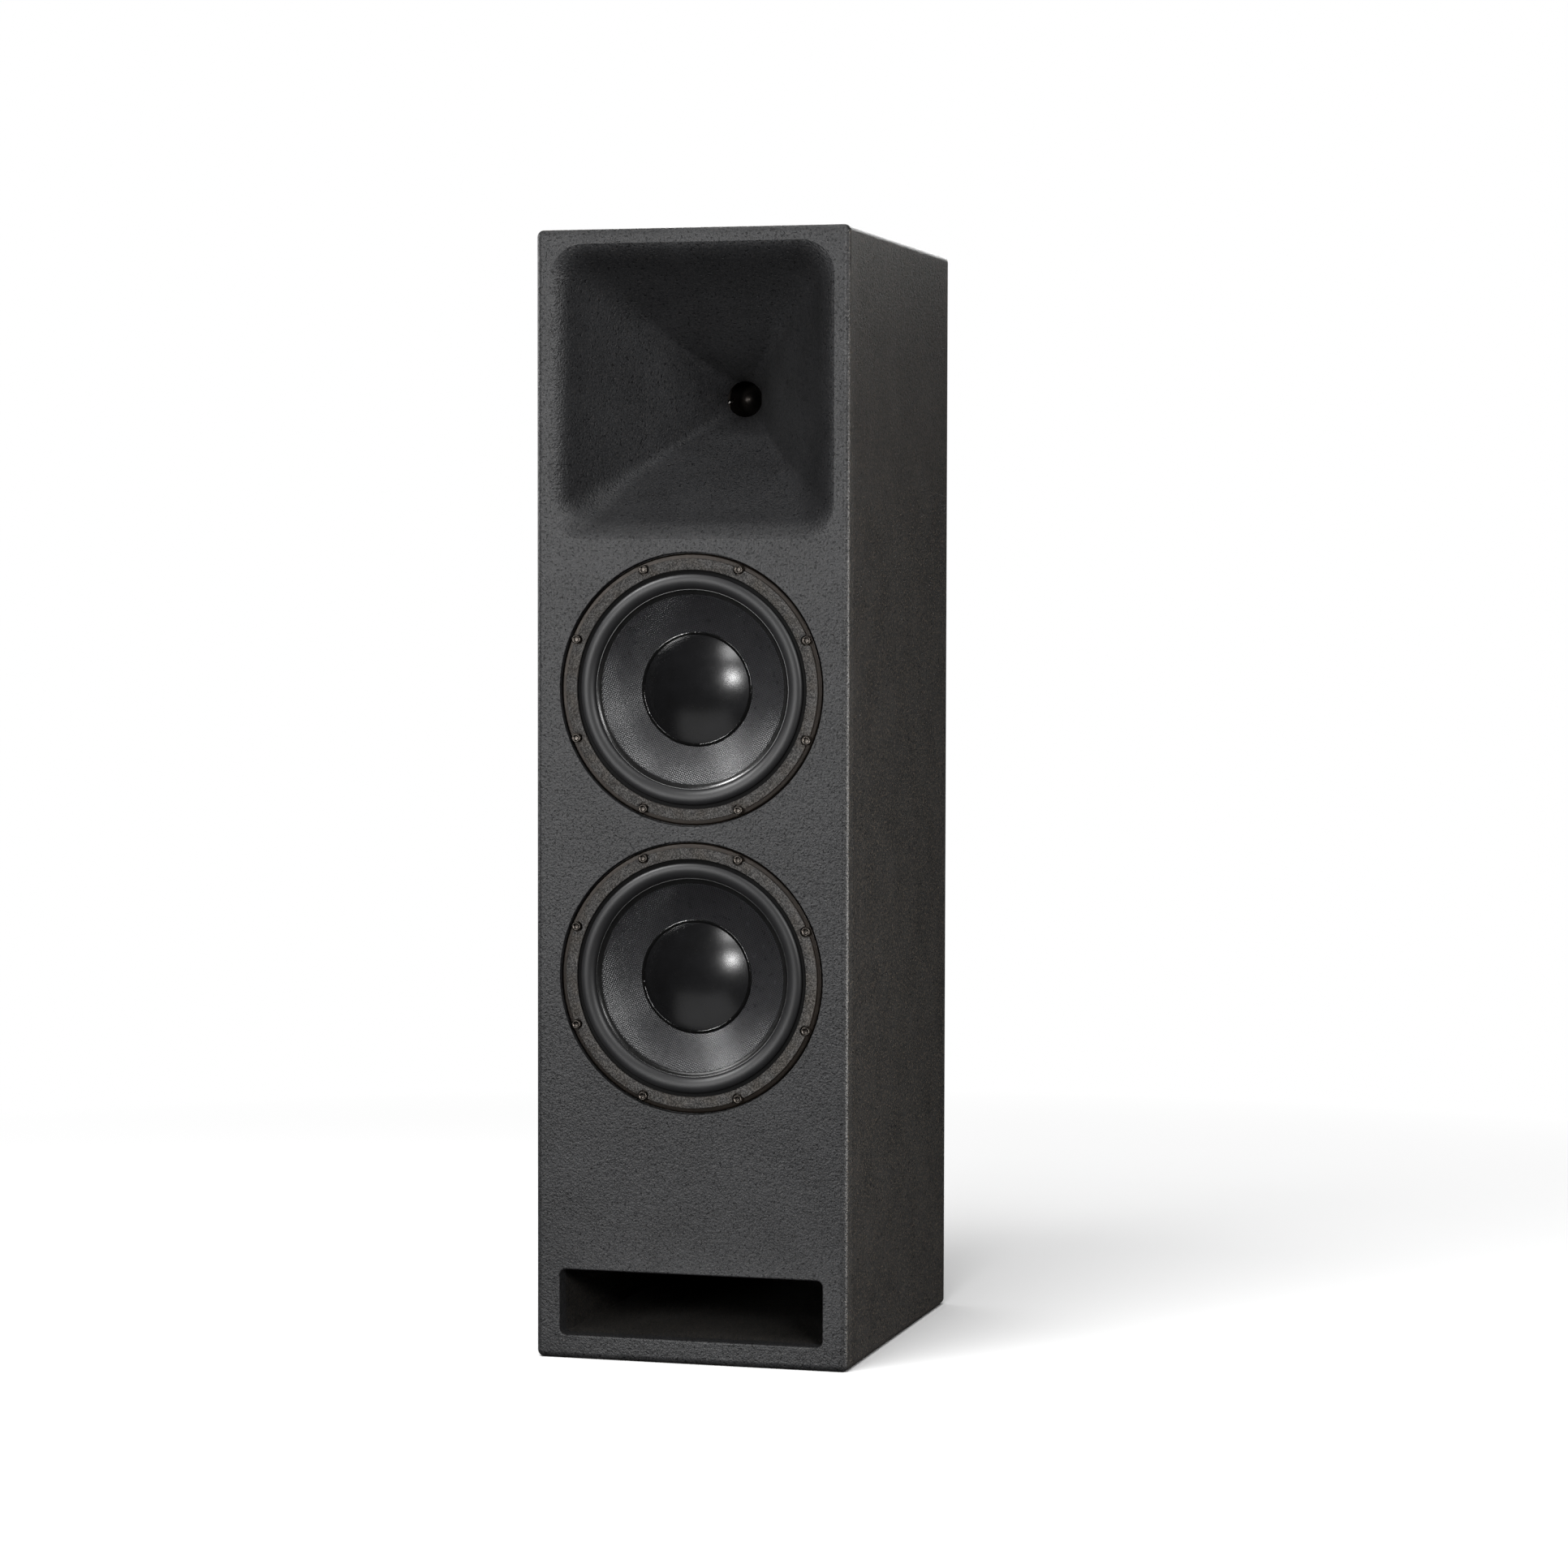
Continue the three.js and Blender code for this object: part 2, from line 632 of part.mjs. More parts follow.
function hfDriver() {
  const { magnet, topPlate } = HF;
  const magnetRing = ring(magnet.inner, magnet.outer, HF.plateBack + GAP, magnet.back);
  const plateRing = ring(topPlate.inner, topPlate.outer, magnet.back + GAP, topPlate.back);
  return [
    piece("hf_pole_plate", hfPolePlate(), plainSteel, HORN_Z),
    piece("hf_magnet", magnetRing, ferrite, HORN_Z),
    piece("hf_top_plate", plateRing, plainSteel, HORN_Z),
    piece("hf_phase_plug", phasePlug(), castAluminium, HORN_Z),
    piece("hf_diaphragm", hfDiaphragm(), titanium, HORN_Z),
    piece("hf_rear_cover", hfRearCover(), blackPlastic, HORN_Z),
  ];
}

// ---- Input plate, crossover and leads ----

const WELL = { outer: 11, post: 4.5, depth: 16 };
const SOCKET = { body: 12.5, flange: 15, front: BACK + GAP, flangeFront: DEPTH - 2, back: DEPTH };
const CROSSOVER = { halfWidth: 75, low: 137, high: 247, front: BACK - GAP - 1.6, back: BACK - GAP };
const INDUCTOR = { inner: 10, outer: 27, length: 24, x: 38, z: 175 };
const CAPACITOR = { radius: 12, length: 42, x: -38, z: 170 };

function inputPlate() {
  const { width, height, thickness } = PLATE;
  const front = DEPTH + GAP;
  const shape = roundedRectangle(width / 2, height / 2, PLATE.corner);
  const hole = disc(WELL.outer + 1, front - PAST, front + thickness + PAST);
  const holes = [-0.5, 0.5].map((place) => hole.translate([place * SOCKET_SPACING, 0, 0]));
  return prism(shape, front, front + thickness).subtract(join(...holes));
}

// A chassis socket with a round well and a post in it, its flange behind the plate.
function socket() {
  const wellFront = SOCKET.back - WELL.depth;
  return turned([
    [0, SOCKET.front],
    [SOCKET.body, SOCKET.front],
    [SOCKET.body, SOCKET.flangeFront],
    [SOCKET.flange, SOCKET.flangeFront],
    [SOCKET.flange, SOCKET.back],
    [WELL.outer, SOCKET.back],
    [WELL.outer, wellFront],
    [WELL.post, wellFront],
    [WELL.post, SOCKET.back],
    [0, SOCKET.back],
  ]);
}

function crossoverBoard() {
  const { halfWidth, low, high, front, back } = CROSSOVER;
  return block([-halfWidth, halfWidth], [front, back], [low, high]);
}

function inductor() {
  const { inner, outer, length, x, z } = INDUCTOR;
  const back = CROSSOVER.front - GAP;
  return ring(inner, outer, back - length, back).translate([x, 0, z]);
}

function capacitor() {
  const { radius, length, x, z } = CAPACITOR;
  const can = new THREE.CylinderGeometry(radius, radius, length, HIDDEN);
  can.rotateZ(Math.PI / 2);
  can.translate(x, CROSSOVER.front - GAP - radius, z);
  return solid(can);
}

// A two-core lead along a curve through hand-placed [x, depth, height] points.
function lead(points) {
  const curve = new THREE.CatmullRomCurve3(points.map((place) => new THREE.Vector3(...place)));
  const section = new THREE.Shape();
  section.absarc(0, 0, LEAD_RADIUS, 0, 2 * Math.PI);
  const options = { steps: 20, curveSegments: 4, extrudePath: curve, bevelEnabled: false };
  return solid(new THREE.ExtrudeGeometry(section, options));
}

function electrics() {
  const boardFace = CROSSOVER.front - GAP;
  const tabDepth = TAB.back + GAP;
  const tabX = -102;
  const upperLead = lead([
    [-25, boardFace, 238],
    [-25, boardFace - 14, 238],
    [-38, 345, 262],
    [-60, 335, 400],
    [-62, 335, 500],
    [-80, 310, 600],
    [tabX, 200, WOOFER_Z.upper],
    [tabX, tabDepth, WOOFER_Z.upper],
  ]);
  const lowerLead = lead([
    [-58, boardFace, 238],
    [-58, boardFace - 14, 238],
    [-66, 345, 256],
    [-90, 290, 330],
    [tabX, 200, WOOFER_Z.lower],
    [tabX, tabDepth, WOOFER_Z.lower],
  ]);
  const hfLead = lead([
    [12, boardFace, 238],
    [12, boardFace - 14, 238],
    [14, 345, 262],
    [40, 335, 400],
    [48, 335, 520],
    [40, 340, 760],
    [20, 320, 890],
    [20, 285, HORN_Z],
    [20, HF.cover.back + GAP, HORN_Z],
  ]);
  return [
    piece("input_plate", inputPlate(), blackSteel, PLATE.z),
    ...["left", "right"].map((side, i) => {
      const placed = socket().translate([(i - 0.5) * SOCKET_SPACING, 0, 0]);
      return piece(`${side}_input_socket`, placed, blackPlastic, PLATE.z);
    }),
    piece("crossover_board", crossoverBoard(), circuitBoard),
    piece("crossover_inductor", inductor(), coilWire),
    piece("crossover_capacitor", capacitor(), blackPlastic),
    piece("upper_woofer_lead", upperLead, leadSheath),
    piece("lower_woofer_lead", lowerLead, leadSheath),
    piece("hf_lead", hfLead, leadSheath),
  ];
}

// ---- The whole cabinet, with its origin at the middle of its base ----

const assembly = new THREE.Group();
assembly.add(...cabinet(), ...woofer("upper"), ...woofer("lower"), ...hfDriver(), ...electrics());
assembly.position.y = -DEPTH / 2;

const speaker = new THREE.Group();
speaker.add(assembly);

export default speaker;
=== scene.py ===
"""The looks of a tall two-way loudspeaker cabinet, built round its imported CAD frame.

Lengths in the shapes are millimetres: x to the right, depth behind the front face, z up from the floor.
"""

import math

import bmesh
import bpy
import numpy as np
from mathutils import Matrix, Vector


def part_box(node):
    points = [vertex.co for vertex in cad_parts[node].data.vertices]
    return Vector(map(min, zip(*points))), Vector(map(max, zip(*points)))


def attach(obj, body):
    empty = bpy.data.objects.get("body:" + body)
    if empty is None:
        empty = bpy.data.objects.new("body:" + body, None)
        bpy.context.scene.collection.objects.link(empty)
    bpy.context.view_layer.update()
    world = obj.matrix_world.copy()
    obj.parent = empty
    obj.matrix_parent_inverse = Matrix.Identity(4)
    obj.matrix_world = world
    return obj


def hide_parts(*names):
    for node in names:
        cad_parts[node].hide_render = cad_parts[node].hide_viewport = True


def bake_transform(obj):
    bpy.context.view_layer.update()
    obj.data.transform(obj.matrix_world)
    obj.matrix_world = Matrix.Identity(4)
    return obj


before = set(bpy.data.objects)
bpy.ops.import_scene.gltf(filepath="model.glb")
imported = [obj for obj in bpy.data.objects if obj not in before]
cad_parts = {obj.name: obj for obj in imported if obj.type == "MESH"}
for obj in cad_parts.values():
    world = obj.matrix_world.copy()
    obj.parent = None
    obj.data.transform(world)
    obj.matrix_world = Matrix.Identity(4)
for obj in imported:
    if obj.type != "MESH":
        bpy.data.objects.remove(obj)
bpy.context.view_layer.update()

MM = 0.001
ROOT = "cabinet"

# ---- Sizes taken from the frame ----

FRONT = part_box("baffle")[0].y


def span(node):
    """A node's low and high corner in millimetres, as (x, depth, z)."""
    low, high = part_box(node)
    return tuple((p.x / MM, (p.y - FRONT) / MM, p.z / MM) for p in (low, high))


def middle(node):
    low, high = span(node)
    return [(a + b) / 2 for a, b in zip(low, high)]


def round_size(node):
    """A round node's radius, front depth and back depth."""
    low, high = span(node)
    return (high[0] - low[0]) / 2, low[1], high[1]


(LEFT, _, _), (RIGHT, BAFFLE, HEIGHT) = span("baffle")
WIDTH = RIGHT - LEFT
DEPTH = span("back_panel")[1][1]
BACK = span("back_panel")[0][1]
SEAM = (span("left_side_panel")[0][1] + BAFFLE) / 2  # where the front board meets the side boards
REAR_SEAM = (span("left_side_panel")[1][1] + BACK) / 2
INNER = span("right_side_panel")[0][0]
EDGE = 6.35  # radius of the cabinet's rounded edges
HORN_Z = middle("horn")[2]
WOOFERS = {which: middle(f"{which}_woofer_gasket")[2] for which in ("upper", "lower")}

MOUTH = 138
MOUTH_CORNER = 31
LIP_END = 118
LIP_CORNER = 24
LIP_TURN = (25, 65)  # how far the lip has turned from the front face, in degrees, at its start and end
FLARE_POWER = 1.4
THROAT = 17.5
THROAT_DEPTH = 184
EASE = 1.2  # radius of the coat where the mouth's edge is eased
BEND = (13, 31)  # depths between which the lip runs smoothly into the flare
LIP_SHARE = (BEND[0] / BAFFLE) ** 0.9  # how much of the lip comes before the bend
FLARE_SHARE = (BEND[1] - BAFFLE) / (THROAT_DEPTH - BAFFLE)  # how much of the flare the bend takes up
FORMER = 38.5  # radius of the voice coil's former, where cone and spider end

# ---- Mesh helpers ----


def at(x, depth, z):
    return Vector((x * MM, FRONT + depth * MM, z * MM))


def add_object(name, data):
    obj = bpy.data.objects.new(name, data)
    bpy.context.scene.collection.objects.link(obj)
    return obj


def new_object(name, mesh_builder, material, smooth=40):
    """An object from a bmesh that mesh_builder fills, shaded smooth up to an angle in degrees."""
    bm = bmesh.new()
    mesh_builder(bm)
    bmesh.ops.remove_doubles(bm, verts=bm.verts, dist=1e-7)
    bmesh.ops.recalc_face_normals(bm, faces=bm.faces)
    for face in bm.faces:
        face.smooth = True
    for edge in bm.edges:
        edge.smooth = len(edge.link_faces) == 2 and edge.calc_face_angle(0) < math.radians(smooth)
    mesh = bpy.data.meshes.new(name)
    bm.to_mesh(mesh)
    bm.free()
    mesh.materials.append(material)
    return add_object(name, mesh)


def place(obj, body, slot, *nodes):
    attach(obj, body)
    if nodes:
        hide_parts(*nodes)
    return obj


def weighted(obj):
    """Lets large flat faces keep flat shading beside small rounded ones."""
    modifier = obj.modifiers.new("flat_faces", "WEIGHTED_NORMAL")
    modifier.keep_sharp = True
    modifier.weight = 100
    return obj


def loft_rings(bm, rings, cyclic=False, caps=False):
    """Quads between neighbouring rings of points; a ring of one point is a pole."""
    made = [[bm.verts.new(p) for p in ring] for ring in rings]
    pairs = list(zip(made, made[1:]))
    if cyclic:
        pairs.append((made[-1], made[0]))
    for a, b in pairs:
        count = max(len(a), len(b))
        for i in range(count):
            j = (i + 1) % count
            corners = [a[i % len(a)], a[j % len(a)], b[j % len(b)], b[i % len(b)]]
            unique = list(dict.fromkeys(corners))
            if len(unique) > 2:
                bm.faces.new(unique)
    if caps:
        bm.faces.new(made[0])
        bm.faces.new(made[-1])


def lofted(name, rings, material, smooth=40, cyclic=False, caps=False):
    return new_object(name, lambda bm: loft_rings(bm, rings, cyclic, caps), material, smooth)


def arc_points(centre, radius, start, sweep, steps, ends=True):
    """Points along an arc, with angles in degrees; without ends, the first and last are left out."""
    turns = [math.radians(start + sweep * i / steps) for i in range(steps + 1)]
    if not ends:
        turns = turns[1:-1]
    return [(centre[0] + radius * math.cos(t), centre[1] + radius * math.sin(t)) for t in turns]


def circle(radius, depth, centre, segments):
    x, z = centre
    if radius < 1e-6:
        return [at(x, depth, z)]
    angles = [2 * math.pi * i / segments for i in range(segments)]
    return [at(x + radius * math.cos(a), depth, z + radius * math.sin(a)) for a in angles]


def turned(name, profile, centre, material, segments=128, smooth=40):
    """A solid turned round a line along the depth, from (radius, depth) points."""
    closed = profile[0][0] > 1e-6 or profile[-1][0] > 1e-6
    rings = [circle(r, d, centre, segments) for r, d in profile]
    return lofted(name, rings, material, smooth, cyclic=closed)


def eased(points, radius, steps=3, closed=True):
    """A polygon with its corners rounded; a corner beside a short edge gets a smaller radius."""
    result = []
    count = len(points)
    for i, corner in enumerate(points):
        if not closed and i in (0, count - 1):
            result.append(corner)
            continue
        before = Vector(points[i - 1]) - Vector(corner)
        after = Vector(points[(i + 1) % count]) - Vector(corner)
        reach = min(radius, before.length * 0.45, after.length * 0.45)
        a = Vector(corner) + before.normalized() * reach
        b = Vector(corner) + after.normalized() * reach
        for step in range(steps + 1):
            t = step / steps
            p = a * (1 - t) ** 2 + Vector(corner) * 2 * t * (1 - t) + b * t**2
            result.append((p.x, p.y))
    return result


def rounded_rectangle(half_x, half_z, corner, arc=6, side=1):
    """Points round a rounded rectangle as (x, z), with side points along each straight."""
    points = []
    corner = max(corner, 0.02)
    for quarter, (sx, sz) in enumerate(((1, 1), (-1, 1), (-1, -1), (1, -1))):
        cx, cz = sx * (half_x - corner), sz * (half_z - corner)
        for i in range(arc + 1):
            angle = math.radians(90 * (quarter + i / arc))
            points.append((cx + corner * math.cos(angle), cz + corner * math.sin(angle)))
        nx, nz = ((-sx, sz), (sx, -sz))[quarter % 2]
        if quarter % 2 == 0:
            end = (nx * (half_x - corner), sz * half_z)
        else:
            end = (sx * half_x, nz * (half_z - corner))
        last = points[-1]
        for i in range(1, side + 1):
            t = i / (side + 1)
            points.append((last[0] * (1 - t) + end[0] * t, last[1] * (1 - t) + end[1] * t))
    return points


def ring_at(points, depth, centre=(0, 0)):
    return [at(centre[0] + x, depth, centre[1] + z) for x, z in points]


def cut(obj, *cutters):
    """Takes the cutters out of obj, and removes them."""
    for cutter in cutters:
        modifier = obj.modifiers.new("cut", "BOOLEAN")
        modifier.operation = "DIFFERENCE"
        modifier.solver = "EXACT"
        modifier.object = cutter
    depsgraph = bpy.context.evaluated_depsgraph_get()
    mesh = bpy.data.meshes.new_from_object(obj.evaluated_get(depsgraph))
    old = obj.data
    obj.modifiers.clear()
    obj.data = mesh
    bpy.data.meshes.remove(old)
    for cutter in cutters:
        bpy.data.objects.remove(cutter)
    bm = bmesh.new()
    bm.from_mesh(mesh)
    bmesh.ops.remove_doubles(bm, verts=bm.verts, dist=2e-6)
    bmesh.ops.dissolve_degenerate(bm, edges=bm.edges, dist=1e-6)
    for face in bm.faces:
        face.smooth = True
    for edge in bm.edges:
        edge.smooth = len(edge.link_faces) == 2 and edge.calc_face_angle(0) < math.radians(30)
    bm.to_mesh(mesh)
    bm.free()
    return obj


# ---- Materials ----


class Shader:
    """A new material and short ways to add nodes to it. Positions are in millimetres in the row frame."""

    def __init__(self, name, **values):
        self.material = bpy.data.materials.new(name)
        self.material.use_nodes = True
        self.tree = self.material.node_tree
        self.bsdf = self.tree.nodes["Principled BSDF"]
        for key, value in values.items():
            self.bsdf.inputs[key.replace("_", " ")].default_value = value
        coordinates = self.tree.nodes.new("ShaderNodeTexCoord")
        self.position = self.vector("MULTIPLY", coordinates.outputs["Object"], (1 / MM,) * 3)

    def link(self, source, target):
        self.tree.links.new(source, target)

    def feed(self, node, key, value):
        if isinstance(value, bpy.types.NodeSocket):
            self.link(value, node.inputs[key])
        else:
            node.inputs[key].default_value = value

    def vector(self, operation, a, b):
        node = self.tree.nodes.new("ShaderNodeVectorMath")
        node.operation = operation
        self.feed(node, 0, a)
        self.feed(node, 1, b)
        return node.outputs["Vector"]

    def math(self, operation, a, b=0.0, c=0.0, clamp=False):
        node = self.tree.nodes.new("ShaderNodeMath")
        node.operation = operation
        node.use_clamp = clamp
        for i, value in enumerate((a, b, c)):
            self.feed(node, i, value)
        return node.outputs[0]

    def noise(self, size, detail=2.0, roughness=0.5, where=None, distortion=0.0):
        """Noise whose features are about size millimetres across, from 0 to 1."""
        node = self.tree.nodes.new("ShaderNodeTexNoise")
        self.feed(node, "Vector", where or self.position)
        node.inputs["Scale"].default_value = 1 / size
        node.inputs["Detail"].default_value = detail
        node.inputs["Roughness"].default_value = roughness
        node.inputs["Distortion"].default_value = distortion
        return node.outputs["Fac"]

    def cells(self, size):
        node = self.tree.nodes.new("ShaderNodeTexVoronoi")
        node.feature = "SMOOTH_F1"
        self.link(self.position, node.inputs["Vector"])
        node.inputs["Scale"].default_value = 1 / size
        node.inputs["Smoothness"].default_value = 0.4
        return node.outputs["Distance"]

    def ramp(self, value, *stops):
        """A colour ramp from (place, grey or colour) stops."""
        node = self.tree.nodes.new("ShaderNodeValToRGB")
        elements = node.color_ramp.elements
        while len(elements) < len(stops):
            elements.new(0.5)
        for element, (place_, colour) in zip(elements, stops):
            element.position = place_
            rgb = (colour,) * 3 if isinstance(colour, (int, float)) else colour
            element.color = (*rgb, 1)
        self.link(value, node.inputs["Fac"])
        return node.outputs["Color"]

    def mix(self, share, a, b):
        node = self.tree.nodes.new("ShaderNodeMix")
        node.data_type = "RGBA"
        self.feed(node, 0, share)
        for i, value in ((6, a), (7, b)):
            self.feed(node, i, value if isinstance(value, bpy.types.NodeSocket) else (*value, 1))
        return node.outputs[2]

    def between(self, value, low, high):
        """Value from 0 to 1 spread between low and high."""
        return self.math("MULTIPLY_ADD", value, high - low, low)

    def axes(self):
        node = self.tree.nodes.new("ShaderNodeSeparateXYZ")
        self.link(self.position, node.inputs[0])
        return node.outputs

    def bump(self, height, distance, strength):
        """Distance is in millimetres."""
        node = self.tree.nodes.new("ShaderNodeBump")
        node.inputs["Distance"].default_value = distance * MM
        node.inputs["Strength"].default_value = strength
        self.link(height, node.inputs["Height"])
        return node.outputs["Normal"]

    def finish(self, colour=None, roughness=None, normal=None):
        for key, value in (("Base Color", colour), ("Roughness", roughness), ("Normal", normal)):
            if value is not None:
                self.link(value, self.bsdf.inputs[key])
        return self.material


COAT = (0.034, 0.0344, 0.0362)
# The pinholes' colour, also used for the painted shade inside the horn's mouth.
PITS_AND_SHADE = (0.006, 0.006, 0.007)


def shades(colour, *factors):
    return [tuple(min(c * factor, 1) for c in colour) for factor in factors]


def coat_material(name, base, painted_warm_cast=0.0, grain=2.0, height=0.45, gloss=0.4, painted_horn_shade=0.0):
    """The cabinet's hard sprayed coat: round grains, soft waves and dark pinholes.

    Inside the horn's mouth the colour is darkened over depth towards the pits' colour by a given share: painted
    shade.
    """
    s = Shader(name, Specular_IOR_Level=0.55)
    grains = s.cells(grain)
    fine = s.noise(grain * 0.6, 3, 0.62)
    waves = s.noise(grain * 4, 2)
    pits = s.ramp(s.noise(grain * 1.3, 1, 0.4), (0.32, 1.0), (0.37, 0.0))
    patches = s.noise(45, 3)
    mottle = s.math("ADD", s.math("MULTIPLY", fine, 0.8), s.math("MULTIPLY", patches, 0.2))
    dark, light = shades(base, 0.4, 1.7)
    tone = s.ramp(mottle, (0.36, dark), (0.64, light))
    flecks = s.ramp(s.noise(grain, 1, 0.5), (0.58, 0.0), (0.64, 1.0))
    # The warmth gives the pale flecks a larger share and a warmer colour: a painted warm cast that stands in for warm
    # light. The flecks themselves are the coat's own.
    pale = tuple(c * k for c, k in zip(base, (3.2 + painted_warm_cast * 1.2, 2.9 + painted_warm_cast * 0.8, 2.6 + painted_warm_cast * 0.4)))
    colour = s.mix(s.math("MULTIPLY", flecks, 0.3 + 0.5 * painted_warm_cast, clamp=True), tone, pale)
    colour = s.mix(s.math("MULTIPLY", pits, 0.85), colour, PITS_AND_SHADE)
    if painted_horn_shade:
        # Painted shade: the coat darkens towards the pits' colour over depth inside the horn's mouth, at the horn's
        # height only.
        _, depth, z = s.axes()
        into = s.math("MULTIPLY_ADD", depth, 1 / 120, -FRONT / MM / 120)
        into = s.ramp(into, (0.006, 0.0), (0.03, 1.0), (0.3, 0.75), (0.7, 0.0))
        into = s.math("MULTIPLY", into, s.math("GREATER_THAN", z, HORN_Z - MOUTH - 4))
        colour = s.mix(s.math("MULTIPLY", into, painted_horn_shade), colour, PITS_AND_SHADE)
    relief = s.math("ADD", s.math("MULTIPLY", grains, -0.7), s.math("MULTIPLY", fine, 0.7))
    relief = s.math("ADD", relief, s.math("MULTIPLY", waves, 1.0))
    relief = s.math("SUBTRACT", relief, s.math("MULTIPLY", pits, 0.8))
    rough = s.between(fine, gloss - 0.12, gloss + 0.12)
    return s.finish(colour, rough, s.bump(relief, height, 0.85))


def gasket_material():
    s = Shader("gasket_board", Specular_IOR_Level=0.4)
    grit = s.noise(1.1, 3, 0.7)
    tint = s.noise(14, 3)
    greys = (0.008, 0.008, 0.008), (0.042, 0.04, 0.039), (0.11, 0.107, 0.104)
    browns = (0.009, 0.007, 0.005), (0.038, 0.034, 0.03), (0.1, 0.092, 0.084)
    grey, brown = (s.ramp(grit, *zip((0.4, 0.5, 0.62), tones)) for tones in (greys, browns))
    colour = s.mix(s.ramp(tint, (0.4, 0.0), (0.65, 1.0)), grey, brown)
    return s.finish(colour, s.between(grit, 0.5, 0.8), s.bump(grit, 0.7, 0.9))


def rubber_material():
    s = Shader("surround_rubber", Specular_IOR_Level=0.55, Sheen_Weight=0.04, Sheen_Roughness=0.5)
    dust = s.noise(0.9, 3, 0.6)
    colour = s.ramp(s.noise(25, 3), (0.3, (0.01, 0.01, 0.011)), (0.7, (0.016, 0.016, 0.017)))
    return s.finish(colour, s.between(dust, 0.36, 0.48), s.bump(dust, 0.04, 0.6))


def lip_material():
    s = Shader("surround_lip", Specular_IOR_Level=0.8)
    waves = s.noise(9, 2)
    colour = s.ramp(waves, (0.3, 0.006), (0.7, 0.009))
    return s.finish(colour, s.between(s.noise(3, 3), 0.14, 0.26), s.bump(waves, 0.12, 0.4))


def groove_shade_material():
    """The surround's flat edge beside the gasket, dull and coloured much darker than the roll: painted shade of the
    groove there.
    """
    s = Shader("surround_groove", Specular_IOR_Level=0.1)
    dust = s.noise(1.2, 3, 0.6)
    colour = s.ramp(dust, (0.35, 0.003), (0.65, 0.007))
    return s.finish(colour, s.between(dust, 0.6, 0.75), s.bump(dust, 0.05, 0.5))


def weave_material():
    """A lacquered plain weave: yarns of two directions that pass over and under each other."""
    s = Shader("woven_cone", Specular_IOR_Level=0.8)
    pitch = 1.25
    x, _, z = s.axes()
    turn = math.radians(24)
    near, far = math.cos(turn) / pitch, math.sin(turn) / pitch
    u = s.math("ADD", s.math("MULTIPLY", x, near), s.math("MULTIPLY", z, far))
    v = s.math("SUBTRACT", s.math("MULTIPLY", z, near), s.math("MULTIPLY", x, far))
    step = s.math("ADD", s.math("FLOOR", u), s.math("FLOOR", v))
    over = s.math("LESS_THAN", s.math("MODULO", s.math("ADD", step, 4000.0), 2.0), 1.0)
    warp = s.math("ABSOLUTE", s.math("SINE", s.math("MULTIPLY", u, math.pi)))
    weft = s.math("ABSOLUTE", s.math("SINE", s.math("MULTIPLY", v, math.pi)))
    under = s.math("SUBTRACT", 1.0, over)
    yarn = s.math("ADD", s.math("MULTIPLY", over, warp), s.math("MULTIPLY", under, weft))
    blotch = s.noise(8, 4, 0.7)
    tone = s.math("MULTIPLY", s.between(yarn, 0.35, 1.0), s.between(blotch, 0.5, 1.6))
    colour = s.ramp(tone, (0.0, (0.006, 0.006, 0.0066)), (1.0, (0.038, 0.038, 0.041)))
    rough = s.math("ADD", s.between(blotch, 0.14, 0.34), s.math("MULTIPLY", over, 0.06), clamp=True)
    relief = s.math("ADD", s.math("ADD", yarn, s.math("MULTIPLY", over, 0.25)), blotch)
    return s.finish(colour, rough, s.bump(relief, 0.17, 0.85))


def cap_material():
    s = Shader("cap_paper", Specular_IOR_Level=0.9)
    fine = s.noise(0.8, 2, 0.6)
    colour = s.ramp(s.noise(18, 3), (0.3, (0.017, 0.017, 0.018)), (0.7, (0.023, 0.023, 0.025)))
    return s.finish(colour, s.between(s.noise(6, 3), 0.22, 0.3), s.bump(fine, 0.06, 0.7))


def glue_material():
    s = Shader("glue_bead", Specular_IOR_Level=0.6)
    lumps = s.noise(4, 3, 0.6)
    colour = s.ramp(lumps, (0.3, 0.004), (0.7, 0.008))
    return s.finish(colour, s.between(lumps, 0.06, 0.16), s.bump(lumps, 0.9, 0.6))


def metal_material(name, colour, roughness, metallic=1.0, brushed=0.0):
    """Machined, cast or plated metal, with fine turning marks when brushed is set."""
    s = Shader(name, Metallic=metallic)
    cloud = s.noise(14, 4, 0.6)
    dark, light = shades(colour, 0.75, 1.2)
    tone = s.ramp(cloud, (0.3, dark), (0.7, light))
    rough = s.between(s.noise(2.5, 4, 0.7), roughness - 0.09, roughness + 0.15)
    if brushed:
        stretched = s.vector("MULTIPLY", s.position, (brushed, 1.0, 1.0))
        grain = s.noise(0.5, 2, 0.6, where=stretched)
    else:
        grain = s.noise(0.6, 3, 0.7)
    return s.finish(tone, rough, s.bump(grain, 0.03, 0.5))


def plastic_material(name, colour, roughness=0.45):
    s = Shader(name, Specular_IOR_Level=0.5)
    grain = s.cells(0.8)
    dark, light = shades(colour, 0.8, 1.25)
    tone = s.ramp(s.noise(12, 3), (0.3, dark), (0.7, light))
    rough = s.between(s.noise(3, 3), roughness - 0.06, roughness + 0.08)
    return s.finish(tone, rough, s.bump(grain, 0.03, 0.5))


def plywood_material():
    s = Shader("plywood", Specular_IOR_Level=0.3)
    along = s.vector("MULTIPLY", s.position, (0.05, 0.004, 0.05))
    rings = s.noise(0.35, 5, 0.6, where=along, distortion=1.5)
    pores = s.noise(1.2, 3, 0.7, where=s.vector("MULTIPLY", s.position, (1.0, 0.06, 1.0)))
    tone = s.ramp(rings, (0.25, (0.36, 0.22, 0.1)), (0.55, (0.52, 0.36, 0.19)), (0.8, (0.42, 0.27, 0.13)))
    colour = s.mix(s.math("MULTIPLY", pores, 0.25), tone, (0.2, 0.12, 0.06))
    return s.finish(colour, s.between(pores, 0.6, 0.8), s.bump(pores, 0.1, 0.5))


